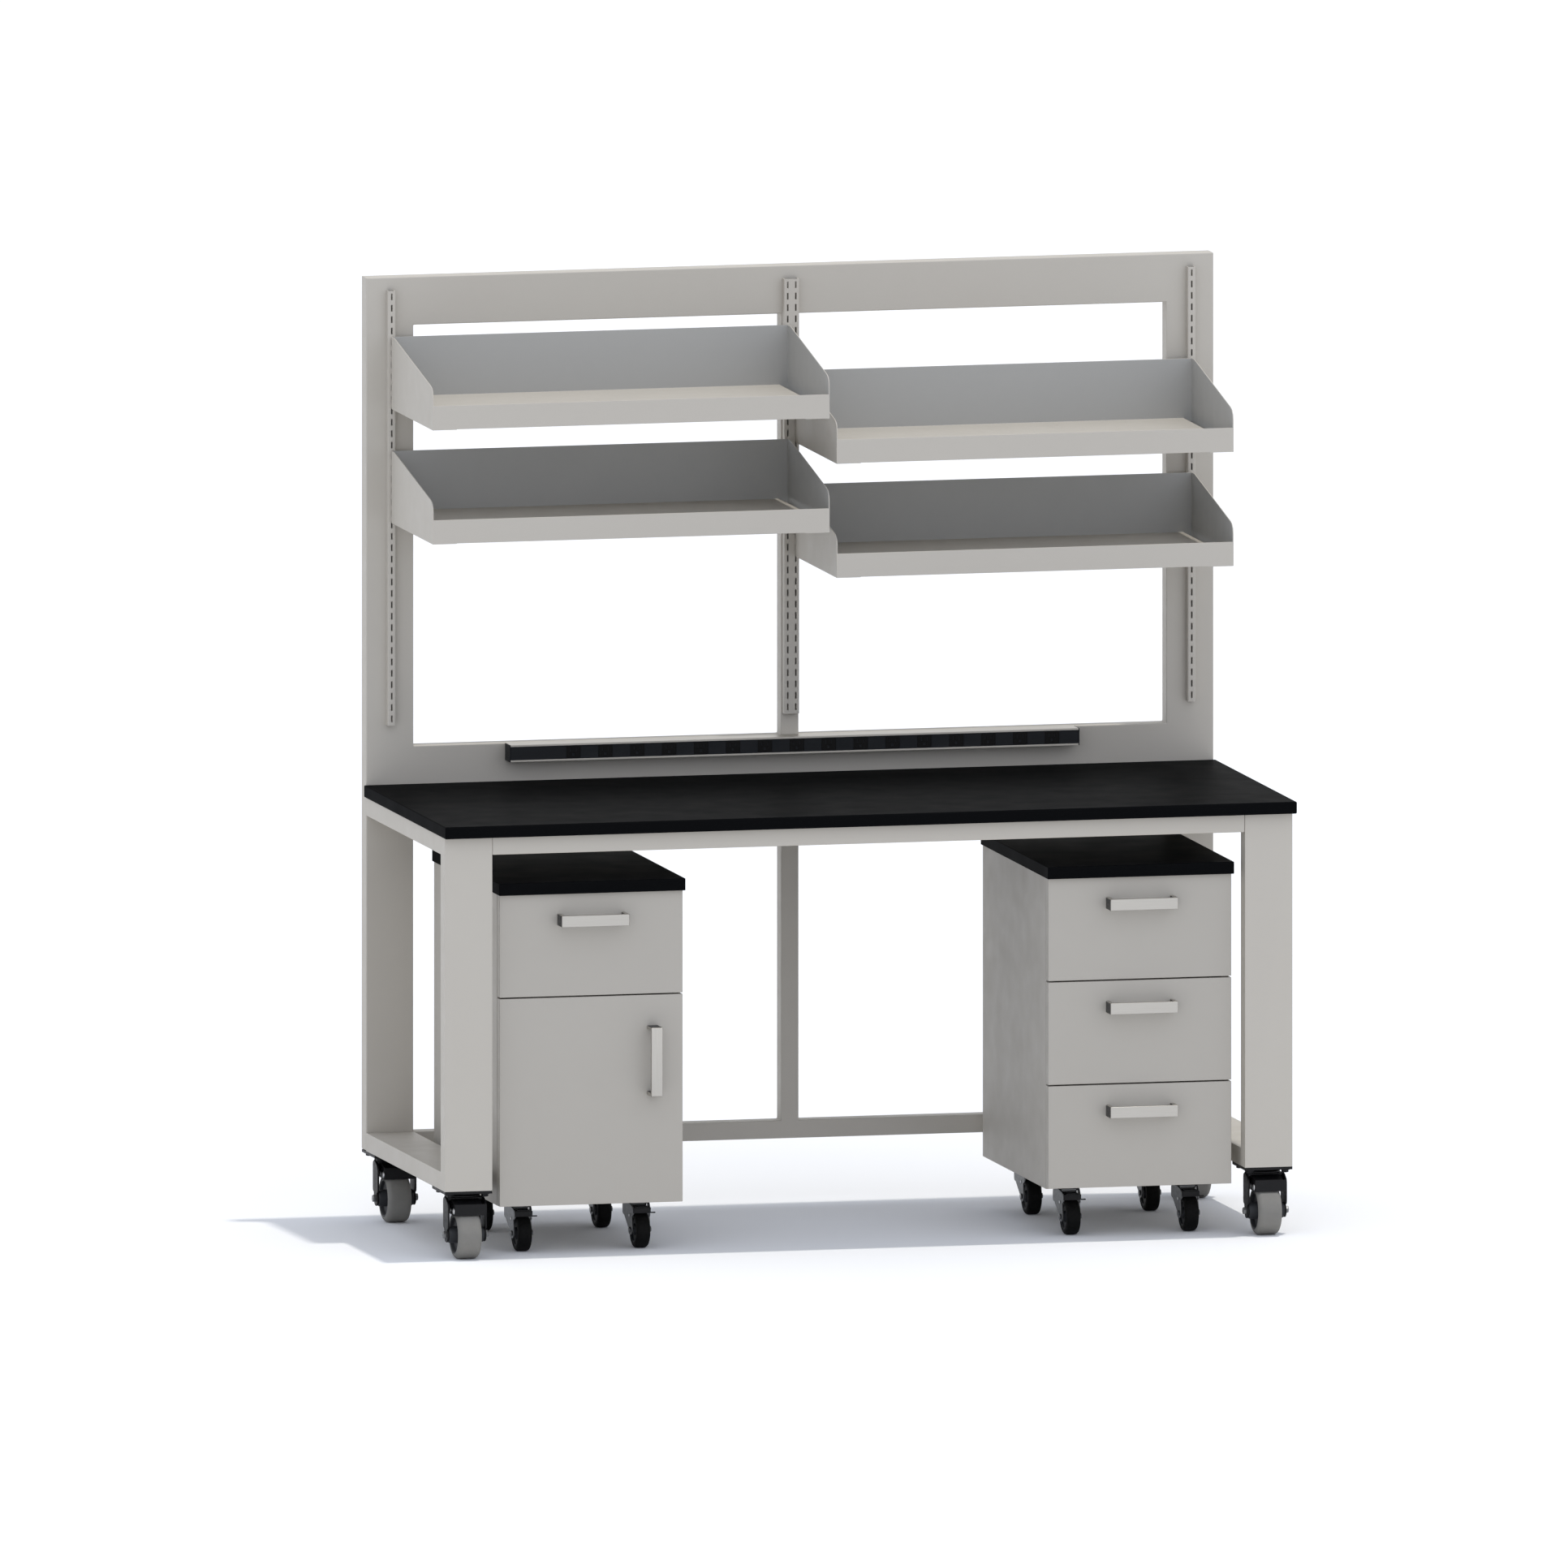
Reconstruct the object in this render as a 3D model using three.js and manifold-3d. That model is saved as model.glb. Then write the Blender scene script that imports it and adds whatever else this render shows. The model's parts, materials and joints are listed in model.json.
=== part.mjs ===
// Mobile lab bench with a reagent-shelf frame and two mobile pedestals under the worktop.
// Millimetres, +Z up. X runs along the bench, -Y is the user's side, and the origin is on the
// floor under the middle of the bench.
import * as THREE from 'three';
import { mergeVertices } from 'three/addons/utils/BufferGeometryUtils.js';
import Module from 'manifold-3d';

const wasm = await Module();
wasm.setup();

// Clearance between pieces that seat on each other, and the depth to which joined forms run into each other
const fit = 0.3;
const weld = 1;

// Bench
const benchWidth = 1828.8;
const benchDepth = 762;
const benchHeight = 1981.2;
const worktopHeight = 914.4;
const worktopThickness = 25.4;
const worktopChamfer = 1.5;
const sideOverhang = 4.6;
const frontOverhang = 22;

// Steel tube: the wide flat tube of the legs, uprights and rails, and the square tube of the post
const tubeWidth = 101.6;
const tubeThickness = 38.1;
const postWidth = 38.1;
const backRailRise = 80;

// Slotted standards on the front of the rear frame
const standardFootGap = 45.4;
const standardDrop = 27;
const standardDepth = 17;
const standardWidth = 16;
const doubleStandardWidth = 32;
const standardWall = 2;
const standardInset = 51;
const slotPitch = 24;
const firstSlotDrop = 12;
const slotHeight = 14;
const slotWidth = 3.4;
const columnSpacing = 17.2;

// Reagent shelves, folded from sheet steel
const sheet = 2;
const shelfDepth = 368.3;
const shelfBackHeight = 152;
const shelfFrontHeight = 92;
const shelfTopFlat = 24;
const shelfCornerRadius = 24;
const shelfLipHeight = 51;
const shelfDeckHeight = 27;
const shelfDeckSideGap = 17;
const shelfFlangeWidth = 50.8;
const hookDrop = 20;
const hookSpacingSlots = 4;
const hookHeight = 9;
const hookTip = 6;
const shelfSlots = { left: [9, 19], right: [13, 23] };

// Power strip on the back rail
const stripLength = 1219.2;
const stripHeight = 36;
const stripDepth = 42;
const stripWall = 2.5;
const stripLip = 4;
const socketPitch = 68.5;
const socketWidth = 31;
const socketRecess = 1.5;
const socketsFromLeft = 135;
const socketsFromRight = 50;

// Mobile pedestals
const pedestalWidth = 393;
const pedestalDepth = 585;
const pedestalHeadroom = 63.6;
const pedestalSideGap = 22.7;
const pedestalSetback = 50;
const slabSideOverhang = 3.5;
const slabFrontOverhang = 11;
const slabThickness = 25.4;
const wall = 16;
const backPanel = 12;
const frontThickness = 20;
const frontReveal = 3;
const frontGap = 3;
const drawersPerPedestal = 3;
const runnerSpace = 13;
const railThickness = 6;
const railHeight = 36;
const railSetback = 10;
const memberHeight = 24;
const drawerRearGap = 53;
const drawerWall = 12;
const drawerFloor = 8;
const drawerBoxLift = 25;
const drawerBoxHeadroom = 60;
const hingeArmReach = 60;
const hingeArmWidth = 12;
const hingeArmHeight = 40;
const hingeArmInset = 70;
const bumperSize = 10;
const bumperInset = 30;

// Bar handles
const handleLength = 146;
const handleHeight = 24;
const handleReach = 42;
const handleBar = 8;
const handleCorner = 3;
const drawerHandleDrop = 54;
const doorHandleDrop = 137;
const doorHandleInset = 65;

// Casters: the wheel trails towards the user's side, and the brake pedal sits inside the fork's front
const benchCaster = {
  plateLength: 114.3,
  plateWidth: tubeWidth,
  plateThickness: 6,
  raceDiameter: 74,
  raceHeight: 10,
  crownThickness: 6,
  crownFront: 24,
  crownBack: 24,
  crownBackHalfWidth: 30,
  wheelTopGap: 20.6,
  wheelDiameter: 101.6,
  wheelWidth: 50.8,
  wheelSideGap: 12.6,
  wheelShoulder: 7,
  hubRadius: 17,
  dishRadius: 37,
  dishDepth: 8,
  trail: 28,
  forkThickness: 4,
  forkSplay: 0,
  legFront: 46,
  legBack: 3,
  legWaist: 12,
  bossRadius: 16,
  axleDiameter: 12,
  axleHeadDiameter: 20,
  axleHeadLength: 6.5,
  pivotDiameter: 8,
  pivotForward: 36,
  pivotBelowCrown: 16,
  pedalHalfWidth: 30,
  pedalWall: 2.5,
  pedalReach: 61,
  pedalBack: 4,
  pedalSlope: 8,
  pedalEar: 7,
  wheelGuard: 2,
  sides: 16,
};
const pedestalCaster = {
  plateLength: 76,
  plateWidth: 64,
  plateThickness: 4,
  raceDiameter: 46,
  raceHeight: 7,
  crownThickness: 4,
  crownFront: 18,
  crownBack: 16,
  crownBackHalfWidth: 25,
  wheelTopGap: 14.5,
  wheelDiameter: 76.2,
  wheelWidth: 30,
  wheelSideGap: 3.2,
  wheelShoulder: 7,
  trail: 26,
  forkThickness: 3,
  forkSplay: Math.PI / 20,
  legFront: 42,
  legBack: -16,
  legWaist: 28,
  bossRadius: 11,
  axleDiameter: 8,
  axleHeadDiameter: 14,
  axleHeadLength: 2.5,
  pivotDiameter: 5,
  pivotForward: 30,
  pivotBelowCrown: 11.2,
  pedalHalfWidth: 13,
  pedalReach: 46,
  pedalBack: 20,
  pedalThickness: 10,
  pedalEar: 16,
  earThickness: 2.5,
  toeHalfWidth: 19,
  toeThickness: 2.5,
  toeHeight: 12,
  wheelGuard: 2,
  sides: 16,
};
const turningGap = 0.5;
const pedestalCasterInsetX = 69.5;
const pedestalCasterInsetY = 120;
const bossArcStart = Math.PI * 0.1;
const bossArcEnd = Math.PI * 0.95;
const raceSides = 12;
const pinSides = 8;
const boltHeadSides = 6;

// Levels of a caster from the floor up: wheel, crown of the fork, swivel race, and plate
function casterLevels(c) {
  const crownBottom = c.wheelDiameter + c.wheelTopGap;
  const crownTop = crownBottom + c.crownThickness;
  const raceTop = crownTop + c.raceHeight;
  const height = raceTop + fit + c.plateThickness;
  return { crownBottom, crownTop, raceTop, height, pivotZ: crownTop - c.pivotBelowCrown };
}

// Planes and lines that several pieces share
const rearY = benchDepth / 2;
const frontY = -benchDepth / 2;
const frameHalfWidth = benchWidth / 2 - sideOverhang;
const frameBottom = casterLevels(benchCaster).height;
const rearFrameFrontY = rearY - tubeThickness;
const legFrontY = frontY + frontOverhang;
const railTop = worktopHeight - worktopThickness - fit;
const railBottom = railTop - tubeThickness;
const backRailTop = worktopHeight + backRailRise;
const innerSideX = frameHalfWidth - tubeWidth;
const benchStemY = [legFrontY + benchCaster.plateLength / 2, rearY - benchCaster.plateLength / 2];
const standardTop = benchHeight - standardDrop;
const standardLength = standardTop - backRailTop - standardFootGap;
const standardFrontY = rearFrameFrontY - fit - standardDepth;
const standardX = frameHalfWidth - standardInset;
const pedestalBottom = casterLevels(pedestalCaster).height;
const pedestalTopHeight = railBottom - pedestalHeadroom;
const pedestalCentreX = innerSideX - pedestalSideGap - pedestalWidth / 2;
const pedestalFrontY = frontY + pedestalSetback;
const slabBottom = pedestalTopHeight - slabThickness;
const carcassTop = slabBottom - fit;
const carcassFrontY = pedestalFrontY + frontThickness + frontReveal;
const pedestalRearY = pedestalFrontY + pedestalDepth;
const frontPitch = (carcassTop - pedestalBottom) / drawersPerPedestal;
const insideHalfWidth = pedestalWidth / 2 - wall;
const drawerBoxDepth = pedestalDepth - frontThickness - backPanel - drawerRearGap;

// Finishes
function finish(colour, roughness, metalness) {
  return new THREE.MeshStandardMaterial({ color: colour, roughness, metalness });
}
const greyPaint = finish('#b9b5ae', 0.5, 0.1);
const blackTop = finish('#0d0d0e', 0.45, 0);
const satinAluminium = finish('#c9c7c2', 0.35, 0.9);
const blackPlastic = finish('#141416', 0.5, 0);
const zincSteel = finish('#8b8c8e', 0.4, 0.9);
const blackSteel = finish('#161617', 0.45, 0.4);
const greyRubber = finish('#8f8e89', 0.8, 0);
const blackRubber = finish('#0f0f10', 0.7, 0);

// Shape tools
const curveSegments = 3;

function solidOf(geometry) {
  const plain = geometry.clone();
  plain.deleteAttribute('normal');
  plain.deleteAttribute('uv');
  const merged = mergeVertices(plain);
  const mesh = new wasm.Mesh({
    numProp: 3,
    vertProperties: new Float32Array(merged.attributes.position.array),
    triVerts: new Uint32Array(merged.index.array),
  });
  return new wasm.Manifold(mesh);
}

function geometryOf(solid) {
  const mesh = solid.getMesh();
  const geometry = new THREE.BufferGeometry();
  geometry.setAttribute('position', new THREE.BufferAttribute(mesh.vertProperties, 3));
  geometry.setIndex(new THREE.BufferAttribute(mesh.triVerts, 1));
  return geometry;
}

function joined(geometries) {
  return geometries.map(solidOf).reduce((whole, next) => whole.add(next));
}

function join(...geometries) {
  return geometryOf(joined(geometries));
}

function cut(base, tools) {
  return geometryOf(solidOf(base).subtract(joined(tools)));
}

function block([x0, x1], [y0, y1], [z0, z1]) {
  const geometry = new THREE.BoxGeometry(x1 - x0, y1 - y0, z1 - z0);
  return geometry.translate((x0 + x1) / 2, (y0 + y1) / 2, (z0 + z1) / 2);
}

function outline(points) {
  return new THREE.Shape(points.map(([a, b]) => new THREE.Vector2(a, b)));
}

function extrude(shape, depth) {
  return new THREE.ExtrudeGeometry(shape, { depth, bevelEnabled: false, curveSegments });
}

const alongX = new THREE.Matrix4().set(0, 0, 1, 0, 1, 0, 0, 0, 0, 1, 0, 0, 0, 0, 0, 1);

// A prism along X of an outline drawn in Y and Z
function prismX(shape, [x0, x1]) {
  return extrude(shape, x1 - x0).applyMatrix4(alongX).translate(x0, 0, 0);
}

function prismZ(shape, [z0, z1]) {
  return extrude(shape, z1 - z0).translate(0, 0, z0);
}

function rodX(diameter, [x0, x1], y, z, sides) {
  const rod = new THREE.CylinderGeometry(diameter / 2, diameter / 2, x1 - x0, sides);
  return rod.rotateZ(-Math.PI / 2).translate((x0 + x1) / 2, y, z);
}

// A ring turned about X from radius and X pairs, with a flat of its outer face straight down
function turnedX(profile, sides) {
  const flats = 1 / Math.cos(Math.PI / sides);
  const points = profile.map(([radius, x]) => new THREE.Vector2(radius * flats, x));
  points.push(points[0].clone());
  const ring = new THREE.LatheGeometry(points, sides, Math.PI / sides);
  return ring.rotateZ(-Math.PI / 2);
}

const bench = new THREE.Group();

function add(name, geometry, material, parent = bench) {
  const mesh = new THREE.Mesh(geometry, material);
  mesh.name = name;
  parent.add(mesh);
  return mesh;
}

// Rear frame: one weldment of uprights, top rail, back rail, centre post and foot stretcher
function rearFrame() {
  const through = [rearFrameFrontY - weld, rearY + weld];
  const levels = [
    [frameBottom + postWidth, railBottom],
    [backRailTop, benchHeight - tubeWidth],
  ];
  const windows = levels.flatMap((level) => [
    block([-innerSideX, -postWidth / 2], through, level),
    block([postWidth / 2, innerSideX], through, level),
  ]);
  const across = [-frameHalfWidth, frameHalfWidth];
  const plate = block(across, [rearFrameFrontY, rearY], [frameBottom, benchHeight]);
  return cut(plate, windows);
}

// Side frame: front leg, foot rail and top rail as one C, with a caster plate under each end
function sideFrame(side) {
  const c = benchCaster;
  const rearEnd = rearFrameFrontY - fit;
  const profile = outline([
    [legFrontY, frameBottom],
    [rearEnd, frameBottom],
    [rearEnd, frameBottom + tubeThickness],
    [legFrontY + tubeThickness, frameBottom + tubeThickness],
    [legFrontY + tubeThickness, railBottom],
    [rearEnd, railBottom],
    [rearEnd, railTop],
    [legFrontY, railTop],
  ]);
  const centre = side * (frameHalfWidth - tubeWidth / 2);
  const across = [centre - tubeWidth / 2, centre + tubeWidth / 2];
  const plateAcross = [centre - c.plateWidth / 2, centre + c.plateWidth / 2];
  const plates = benchStemY.flatMap((stemY) => {
    const [plateFront, plateRear] = [stemY - c.plateLength / 2, stemY + c.plateLength / 2];
    const plateBottom = frameBottom - c.plateThickness;
    return [
      block(plateAcross, [plateFront, plateRear], [plateBottom, frameBottom - fit]),
      block(plateAcross, [plateFront, Math.min(plateRear, rearEnd)], [plateBottom, frameBottom + weld]),
    ];
  });
  return join(prismX(profile, across), ...plates);
}

function worktop() {
  const c = worktopChamfer;
  const half = benchWidth / 2 - c;
  const shape = outline([
    [-half, frontY + c],
    [half, frontY + c],
    [half, rearFrameFrontY - fit - c],
    [-half, rearFrameFrontY - fit - c],
  ]);
  const slab = new THREE.ExtrudeGeometry(shape, {
    depth: worktopThickness - 2 * c,
    bevelEnabled: true,
    bevelSegments: 1,
    bevelSize: c,
    bevelThickness: c,
  });
  return slab.translate(0, 0, worktopHeight - worktopThickness + c);
}

add('rear_frame', rearFrame(), greyPaint);
add('side_frame_left', sideFrame(-1), greyPaint);
add('side_frame_right', sideFrame(1), greyPaint);
add('front_apron', block(
  [-innerSideX + fit, innerSideX - fit],
  [legFrontY, legFrontY + tubeThickness],
  [railBottom, railTop],
), greyPaint);
add('worktop', worktop(), blackTop);

// Slotted standard: a channel that is open at the back, with columns of slots in its face
function slotZ(index) {
  return standardTop - firstSlotDrop - index * slotPitch;
}

function standard(width, columns) {
  const half = width / 2;
  const back = standardFrontY + standardDepth;
  const channel = outline([
    [-half, standardFrontY],
    [half, standardFrontY],
    [half, back],
    [half - standardWall, back],
    [half - standardWall, standardFrontY + standardWall],
    [-half + standardWall, standardFrontY + standardWall],
    [-half + standardWall, back],
    [-half, back],
  ]);
  const slotCount = Math.floor((standardLength - 2 * firstSlotDrop) / slotPitch) + 1;
  const slots = [];
  for (const x of columns) {
    for (let i = 0; i < slotCount; i += 1) {
      slots.push(block(
        [x - slotWidth / 2, x + slotWidth / 2],
        [standardFrontY - weld, standardFrontY + standardWall + weld],
        [slotZ(i) - slotHeight / 2, slotZ(i) + slotHeight / 2],
      ));
    }
  }
  return cut(prismZ(channel, [standardTop - standardLength, standardTop]), slots);
}

add('standard_left', standard(standardWidth, [0]), greyPaint).position.x = -standardX;
add('standard_centre', standard(doubleStandardWidth, [-columnSpacing / 2, columnSpacing / 2]), greyPaint);
add('standard_right', standard(standardWidth, [0]), greyPaint).position.x = standardX;

// Reagent shelf: a folded tray hung by hook tabs between two slot columns
const shelfRearY = standardFrontY - fit;
const shelfFrontY = shelfRearY - shelfDepth;

function shelfEnd(x) {
  const r = shelfCornerRadius;
  const slope = (shelfBackHeight - shelfFrontHeight) / (shelfDepth - shelfTopFlat - r);
  const profile = new THREE.Shape();
  profile.moveTo(shelfFrontY, 0);
  profile.lineTo(shelfRearY, 0);
  profile.lineTo(shelfRearY, shelfBackHeight);
  profile.lineTo(shelfRearY - shelfTopFlat, shelfBackHeight);
  profile.lineTo(shelfFrontY + r, shelfFrontHeight);
  profile.quadraticCurveTo(shelfFrontY, shelfFrontHeight - r * slope, shelfFrontY, shelfFrontHeight - r);
  return prismX(profile, [x - sheet / 2, x + sheet / 2]);
}

function shelfHook(x, z) {
  const behindWall = standardFrontY + standardWall + fit;
  const tongueBottom = z - slotHeight / 2 + fit;
  const profile = outline([
    [shelfRearY - weld, tongueBottom],
    [behindWall, tongueBottom],
    [behindWall, tongueBottom - hookTip],
    [behindWall + sheet, tongueBottom - hookTip],
    [behindWall + sheet, tongueBottom + hookHeight],
    [shelfRearY - weld, tongueBottom + hookHeight],
  ]);
  return prismX(profile, [x - sheet / 2, x + sheet / 2]);
}

function shelf(leftX, rightX) {
  const inner = [leftX + sheet / 2 - weld, rightX - sheet / 2 + weld];
  const deckX = [leftX + sheet / 2 + shelfDeckSideGap, rightX - sheet / 2 - shelfDeckSideGap];
  const flange = [0, sheet];
  const hooks = [leftX, rightX].flatMap((x) => [0, hookSpacingSlots].map(
    (slots) => shelfHook(x, hookDrop + slots * slotPitch),
  ));
  return join(
    shelfEnd(leftX),
    shelfEnd(rightX),
    block([leftX, leftX + shelfFlangeWidth], [shelfFrontY, shelfRearY], flange),
    block([rightX - shelfFlangeWidth, rightX], [shelfFrontY, shelfRearY], flange),
    block(inner, [shelfFrontY, shelfFrontY + sheet], [sheet - weld, shelfLipHeight]),
    block(inner, [shelfRearY - sheet, shelfRearY], [sheet - weld, shelfBackHeight]),
    block(deckX, [shelfFrontY + weld, shelfRearY - weld], [shelfDeckHeight - sheet, shelfDeckHeight]),
    ...hooks,
  );
}

const shelfColumns = { left: [-standardX, -columnSpacing / 2], right: [columnSpacing / 2, standardX] };
for (const side of ['left', 'right']) {
  ['upper', 'lower'].forEach((level, i) => {
    const tray = add(`shelf_${side}_${level}`, shelf(...shelfColumns[side]), greyPaint);
    tray.position.z = slotZ(shelfSlots[side][i]) - hookDrop;
  });
}

// Power strip: an aluminium channel on the back rail, with a black insert that holds the sockets
const stripBackY = rearFrameFrontY - fit;
const stripFrontY = stripBackY - stripDepth;
const stripBottom = backRailTop - stripHeight;
const stripProfile = outline([
  [stripBackY, stripBottom],
  [stripBackY, backRailTop],
  [stripFrontY, backRailTop],
  [stripFrontY, backRailTop - stripLip],
  [stripFrontY + stripWall, backRailTop - stripLip],
  [stripFrontY + stripWall, backRailTop - stripWall],
  [stripBackY - stripWall, backRailTop - stripWall],
  [stripBackY - stripWall, stripBottom + stripWall],
  [stripFrontY + stripWall, stripBottom + stripWall],
  [stripFrontY + stripWall, stripBottom + stripLip],
  [stripFrontY, stripBottom + stripLip],
  [stripFrontY, stripBottom],
]);
add('power_strip_housing', prismX(stripProfile, [-stripLength / 2, stripLength / 2]), satinAluminium);

function stripInsert() {
  const inside = stripWall + fit;
  const body = block(
    [-stripLength / 2 + fit, stripLength / 2 - fit],
    [stripFrontY + stripWall + fit, stripBackY - inside],
    [stripBottom + inside, backRailTop - inside],
  );
  const face = block(
    [-stripLength / 2 + fit, stripLength / 2 - fit],
    [stripFrontY + fit, stripFrontY + stripWall + fit + weld],
    [stripBottom + stripLip + fit, backRailTop - stripLip - fit],
  );
  const socketCount = Math.floor((stripLength - socketsFromLeft - socketsFromRight) / socketPitch) + 1;
  const recesses = [];
  for (let i = 0; i < socketCount; i += 1) {
    const x = -stripLength / 2 + socketsFromLeft + i * socketPitch;
    recesses.push(block(
      [x - socketWidth / 2, x + socketWidth / 2],
      [stripFrontY - weld, stripFrontY + fit + socketRecess],
      [stripBottom + stripLip + weld + fit, backRailTop - stripLip - weld - fit],
    ));
  }
  return cut(join(body, face), recesses);
}
add('power_strip_outlets', stripInsert(), blackPlastic);

// Caster: swivel fork with its race, axle and pedal pivot, on a stem axis at X = Y = 0
function forkHalfWidths(c) {
  const inner = c.wheelWidth / 2 + c.wheelSideGap;
  return [inner, inner + c.forkThickness];
}

// One leg of the fork, turned about the axle so that the legs spread towards the stem
function forkLeg(c, side) {
  const [inner, outer] = forkHalfWidths(c);
  const { crownTop, crownBottom } = casterLevels(c);
  const axleZ = c.wheelDiameter / 2;
  const waistZ = axleZ + c.legWaist;
  const leg = new THREE.Shape();
  leg.moveTo(-c.legBack, crownTop);
  leg.lineTo(-c.legBack, waistZ);
  leg.absarc(-c.trail, axleZ, c.bossRadius, bossArcStart, bossArcEnd, true);
  leg.lineTo(-c.legFront, waistZ);
  leg.lineTo(-c.legFront, crownBottom - c.crownThickness);
  leg.lineTo(-c.crownFront, crownTop);
  const plate = prismX(leg, [-c.forkThickness / 2, c.forkThickness / 2]).translate(0, c.trail, 0);
  return plate.rotateZ(-side * c.forkSplay).translate((side * (inner + outer)) / 2, -c.trail, 0);
}

function fork(c, braked) {
  const [inner, outer] = forkHalfWidths(c);
  const { raceTop, crownTop, crownBottom, pivotZ } = casterLevels(c);
  const axleZ = c.wheelDiameter / 2;
  const crown = outline([
    [-inner - weld, -c.crownFront],
    [inner + weld, -c.crownFront],
    [inner + weld, -Math.max(c.legBack, 0)],
    [c.crownBackHalfWidth, c.crownBack],
    [-c.crownBackHalfWidth, c.crownBack],
    [-inner - weld, -Math.max(c.legBack, 0)],
  ]);
  const raceRadius = c.raceDiameter / 2;
  const raceLength = c.raceHeight + weld;
  const race = new THREE.CylinderGeometry(raceRadius, raceRadius, raceLength, raceSides);
  race.rotateX(Math.PI / 2).translate(0, 0, raceTop - raceLength / 2);
  const headOuter = outer + c.axleHeadLength;
  const pieces = [
    forkLeg(c, -1),
    forkLeg(c, 1),
    prismZ(crown, [crownBottom, crownTop]),
    race,
    rodX(c.axleDiameter, [-outer, outer], -c.trail, axleZ, pinSides),
    rodX(c.axleHeadDiameter, [-headOuter, -outer + weld], -c.trail, axleZ, boltHeadSides),
    rodX(c.axleHeadDiameter, [outer - weld, headOuter], -c.trail, axleZ, boltHeadSides),
  ];
  if (braked) {
    const pinEnd = outer + weld;
    pieces.push(rodX(c.pivotDiameter, [-pinEnd, pinEnd], -c.pivotForward, pivotZ, pinSides));
  }
  return join(...pieces);
}

// Wheel about its own axle: a tread with rounded shoulders, and on the large wheel a dished web and a hub
function wheel(c) {
  const radius = c.wheelDiameter / 2;
  const half = c.wheelWidth / 2;
  const bore = c.axleDiameter / 2 + turningGap;
  const shoulder = [
    [radius, half - c.wheelShoulder],
    [radius - c.wheelShoulder, half],
  ];
  const web = half - c.dishDepth;
  const hub = forkHalfWidths(c)[0] - fit;
  const dish = [
    [c.dishRadius, half],
    [c.dishRadius, web],
    [c.hubRadius, web],
    [c.hubRadius, hub],
    [bore, hub],
  ];
  const right = c.dishDepth ? [...shoulder, ...dish] : [...shoulder, [bore, half]];
  const left = right.map(([r, x]) => [r, -x]).reverse();
  return turnedX([...right, ...left], c.sides);
}

// Lowest level at which a pedal's front clears the wheel behind it
function pedalBottom(c, backOfFront) {
  const radius = c.wheelDiameter / 2;
  return radius + Math.sqrt(radius ** 2 - (backOfFront - c.trail) ** 2) + c.wheelGuard;
}

function pivotHole(c, halfLength) {
  const diameter = (c.pivotDiameter + 2 * turningGap) / Math.cos(Math.PI / pinSides);
  return rodX(diameter, [-halfLength, halfLength], -c.pivotForward, casterLevels(c).pivotZ, pinSides);
}

// Bench brake pedal: a folded channel over the wheel, with an ear for the foot on its right
function benchPedal(c) {
  const { crownTop, crownBottom } = casterLevels(c);
  const t = c.pedalWall;
  const outer = c.pedalHalfWidth;
  const inner = outer - t;
  const topBack = c.crownFront + 3;
  const top = crownTop - c.crownThickness / 2;
  const toe = top - c.pedalSlope;
  const bottom = pedalBottom(c, c.pedalReach - t);
  const sideTop = crownBottom - c.crownThickness;
  const side = outline([
    [-c.pedalReach, bottom],
    [-c.pedalBack, bottom],
    [-c.pedalBack, sideTop],
    [-c.crownFront, sideTop],
    [-topBack, top],
    [-c.pedalReach, toe],
  ]);
  const inside = outline([
    [-c.pedalReach + t, bottom - weld],
    [weld, bottom - weld],
    [weld, top + weld],
    [-topBack, top + weld],
    [-topBack, top - t],
    [-c.pedalReach + t, toe - t],
  ]);
  const ear = block([outer - weld, outer + c.pedalEar], [-c.pedalReach, -c.pedalReach + t], [bottom, toe]);
  const shell = cut(prismX(side, [-outer, outer]), [prismX(inside, [-inner, inner]), pivotHole(c, outer + weld)]);
  return join(shell, ear);
}

// Pedestal brake pedal: a moulded lever over the wheel, with a wide toe and an ear on its right
function pedestalPedal(c) {
  const pivotZ = casterLevels(c).pivotZ;
  const half = c.pedalHalfWidth;
  const toeY = [-c.pedalReach, -c.pedalReach + c.toeThickness];
  const toeBottom = pedalBottom(c, c.pedalReach - c.toeThickness);
  const lever = block(
    [-half, half],
    [-c.pedalReach + weld, -c.pedalBack],
    [pivotZ - c.pedalThickness / 2, pivotZ + c.pedalThickness / 2],
  );
  const toe = block([-c.toeHalfWidth, c.toeHalfWidth], toeY, [toeBottom, toeBottom + c.toeHeight]);
  const ear = block(
    [c.toeHalfWidth - weld, half + c.pedalEar],
    toeY,
    [toeBottom, toeBottom + c.earThickness],
  );
  return join(cut(lever, [pivotHole(c, half + weld)]), toe, ear);
}

function addCaster(name, c, x, y, pedal, wheelMaterial, forkMaterial) {
  const caster = new THREE.Group();
  caster.position.set(x, y, 0);
  bench.add(caster);
  add(`${name}_fork`, fork(c, Boolean(pedal)), forkMaterial, caster);
  add(`${name}_wheel`, wheel(c), wheelMaterial, caster).position.set(0, -c.trail, c.wheelDiameter / 2);
  if (pedal) {
    add(`${name}_pedal`, pedal(c), blackSteel, caster);
  }
}

const sides = { left: -1, right: 1 };
for (const [side, sign] of Object.entries(sides)) {
  const x = sign * (frameHalfWidth - tubeWidth / 2);
  ['front', 'rear'].forEach((end, i) => {
    addCaster(`bench_caster_${end}_${side}`, benchCaster, x, benchStemY[i], benchPedal, greyRubber, blackSteel);
  });
}

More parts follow.
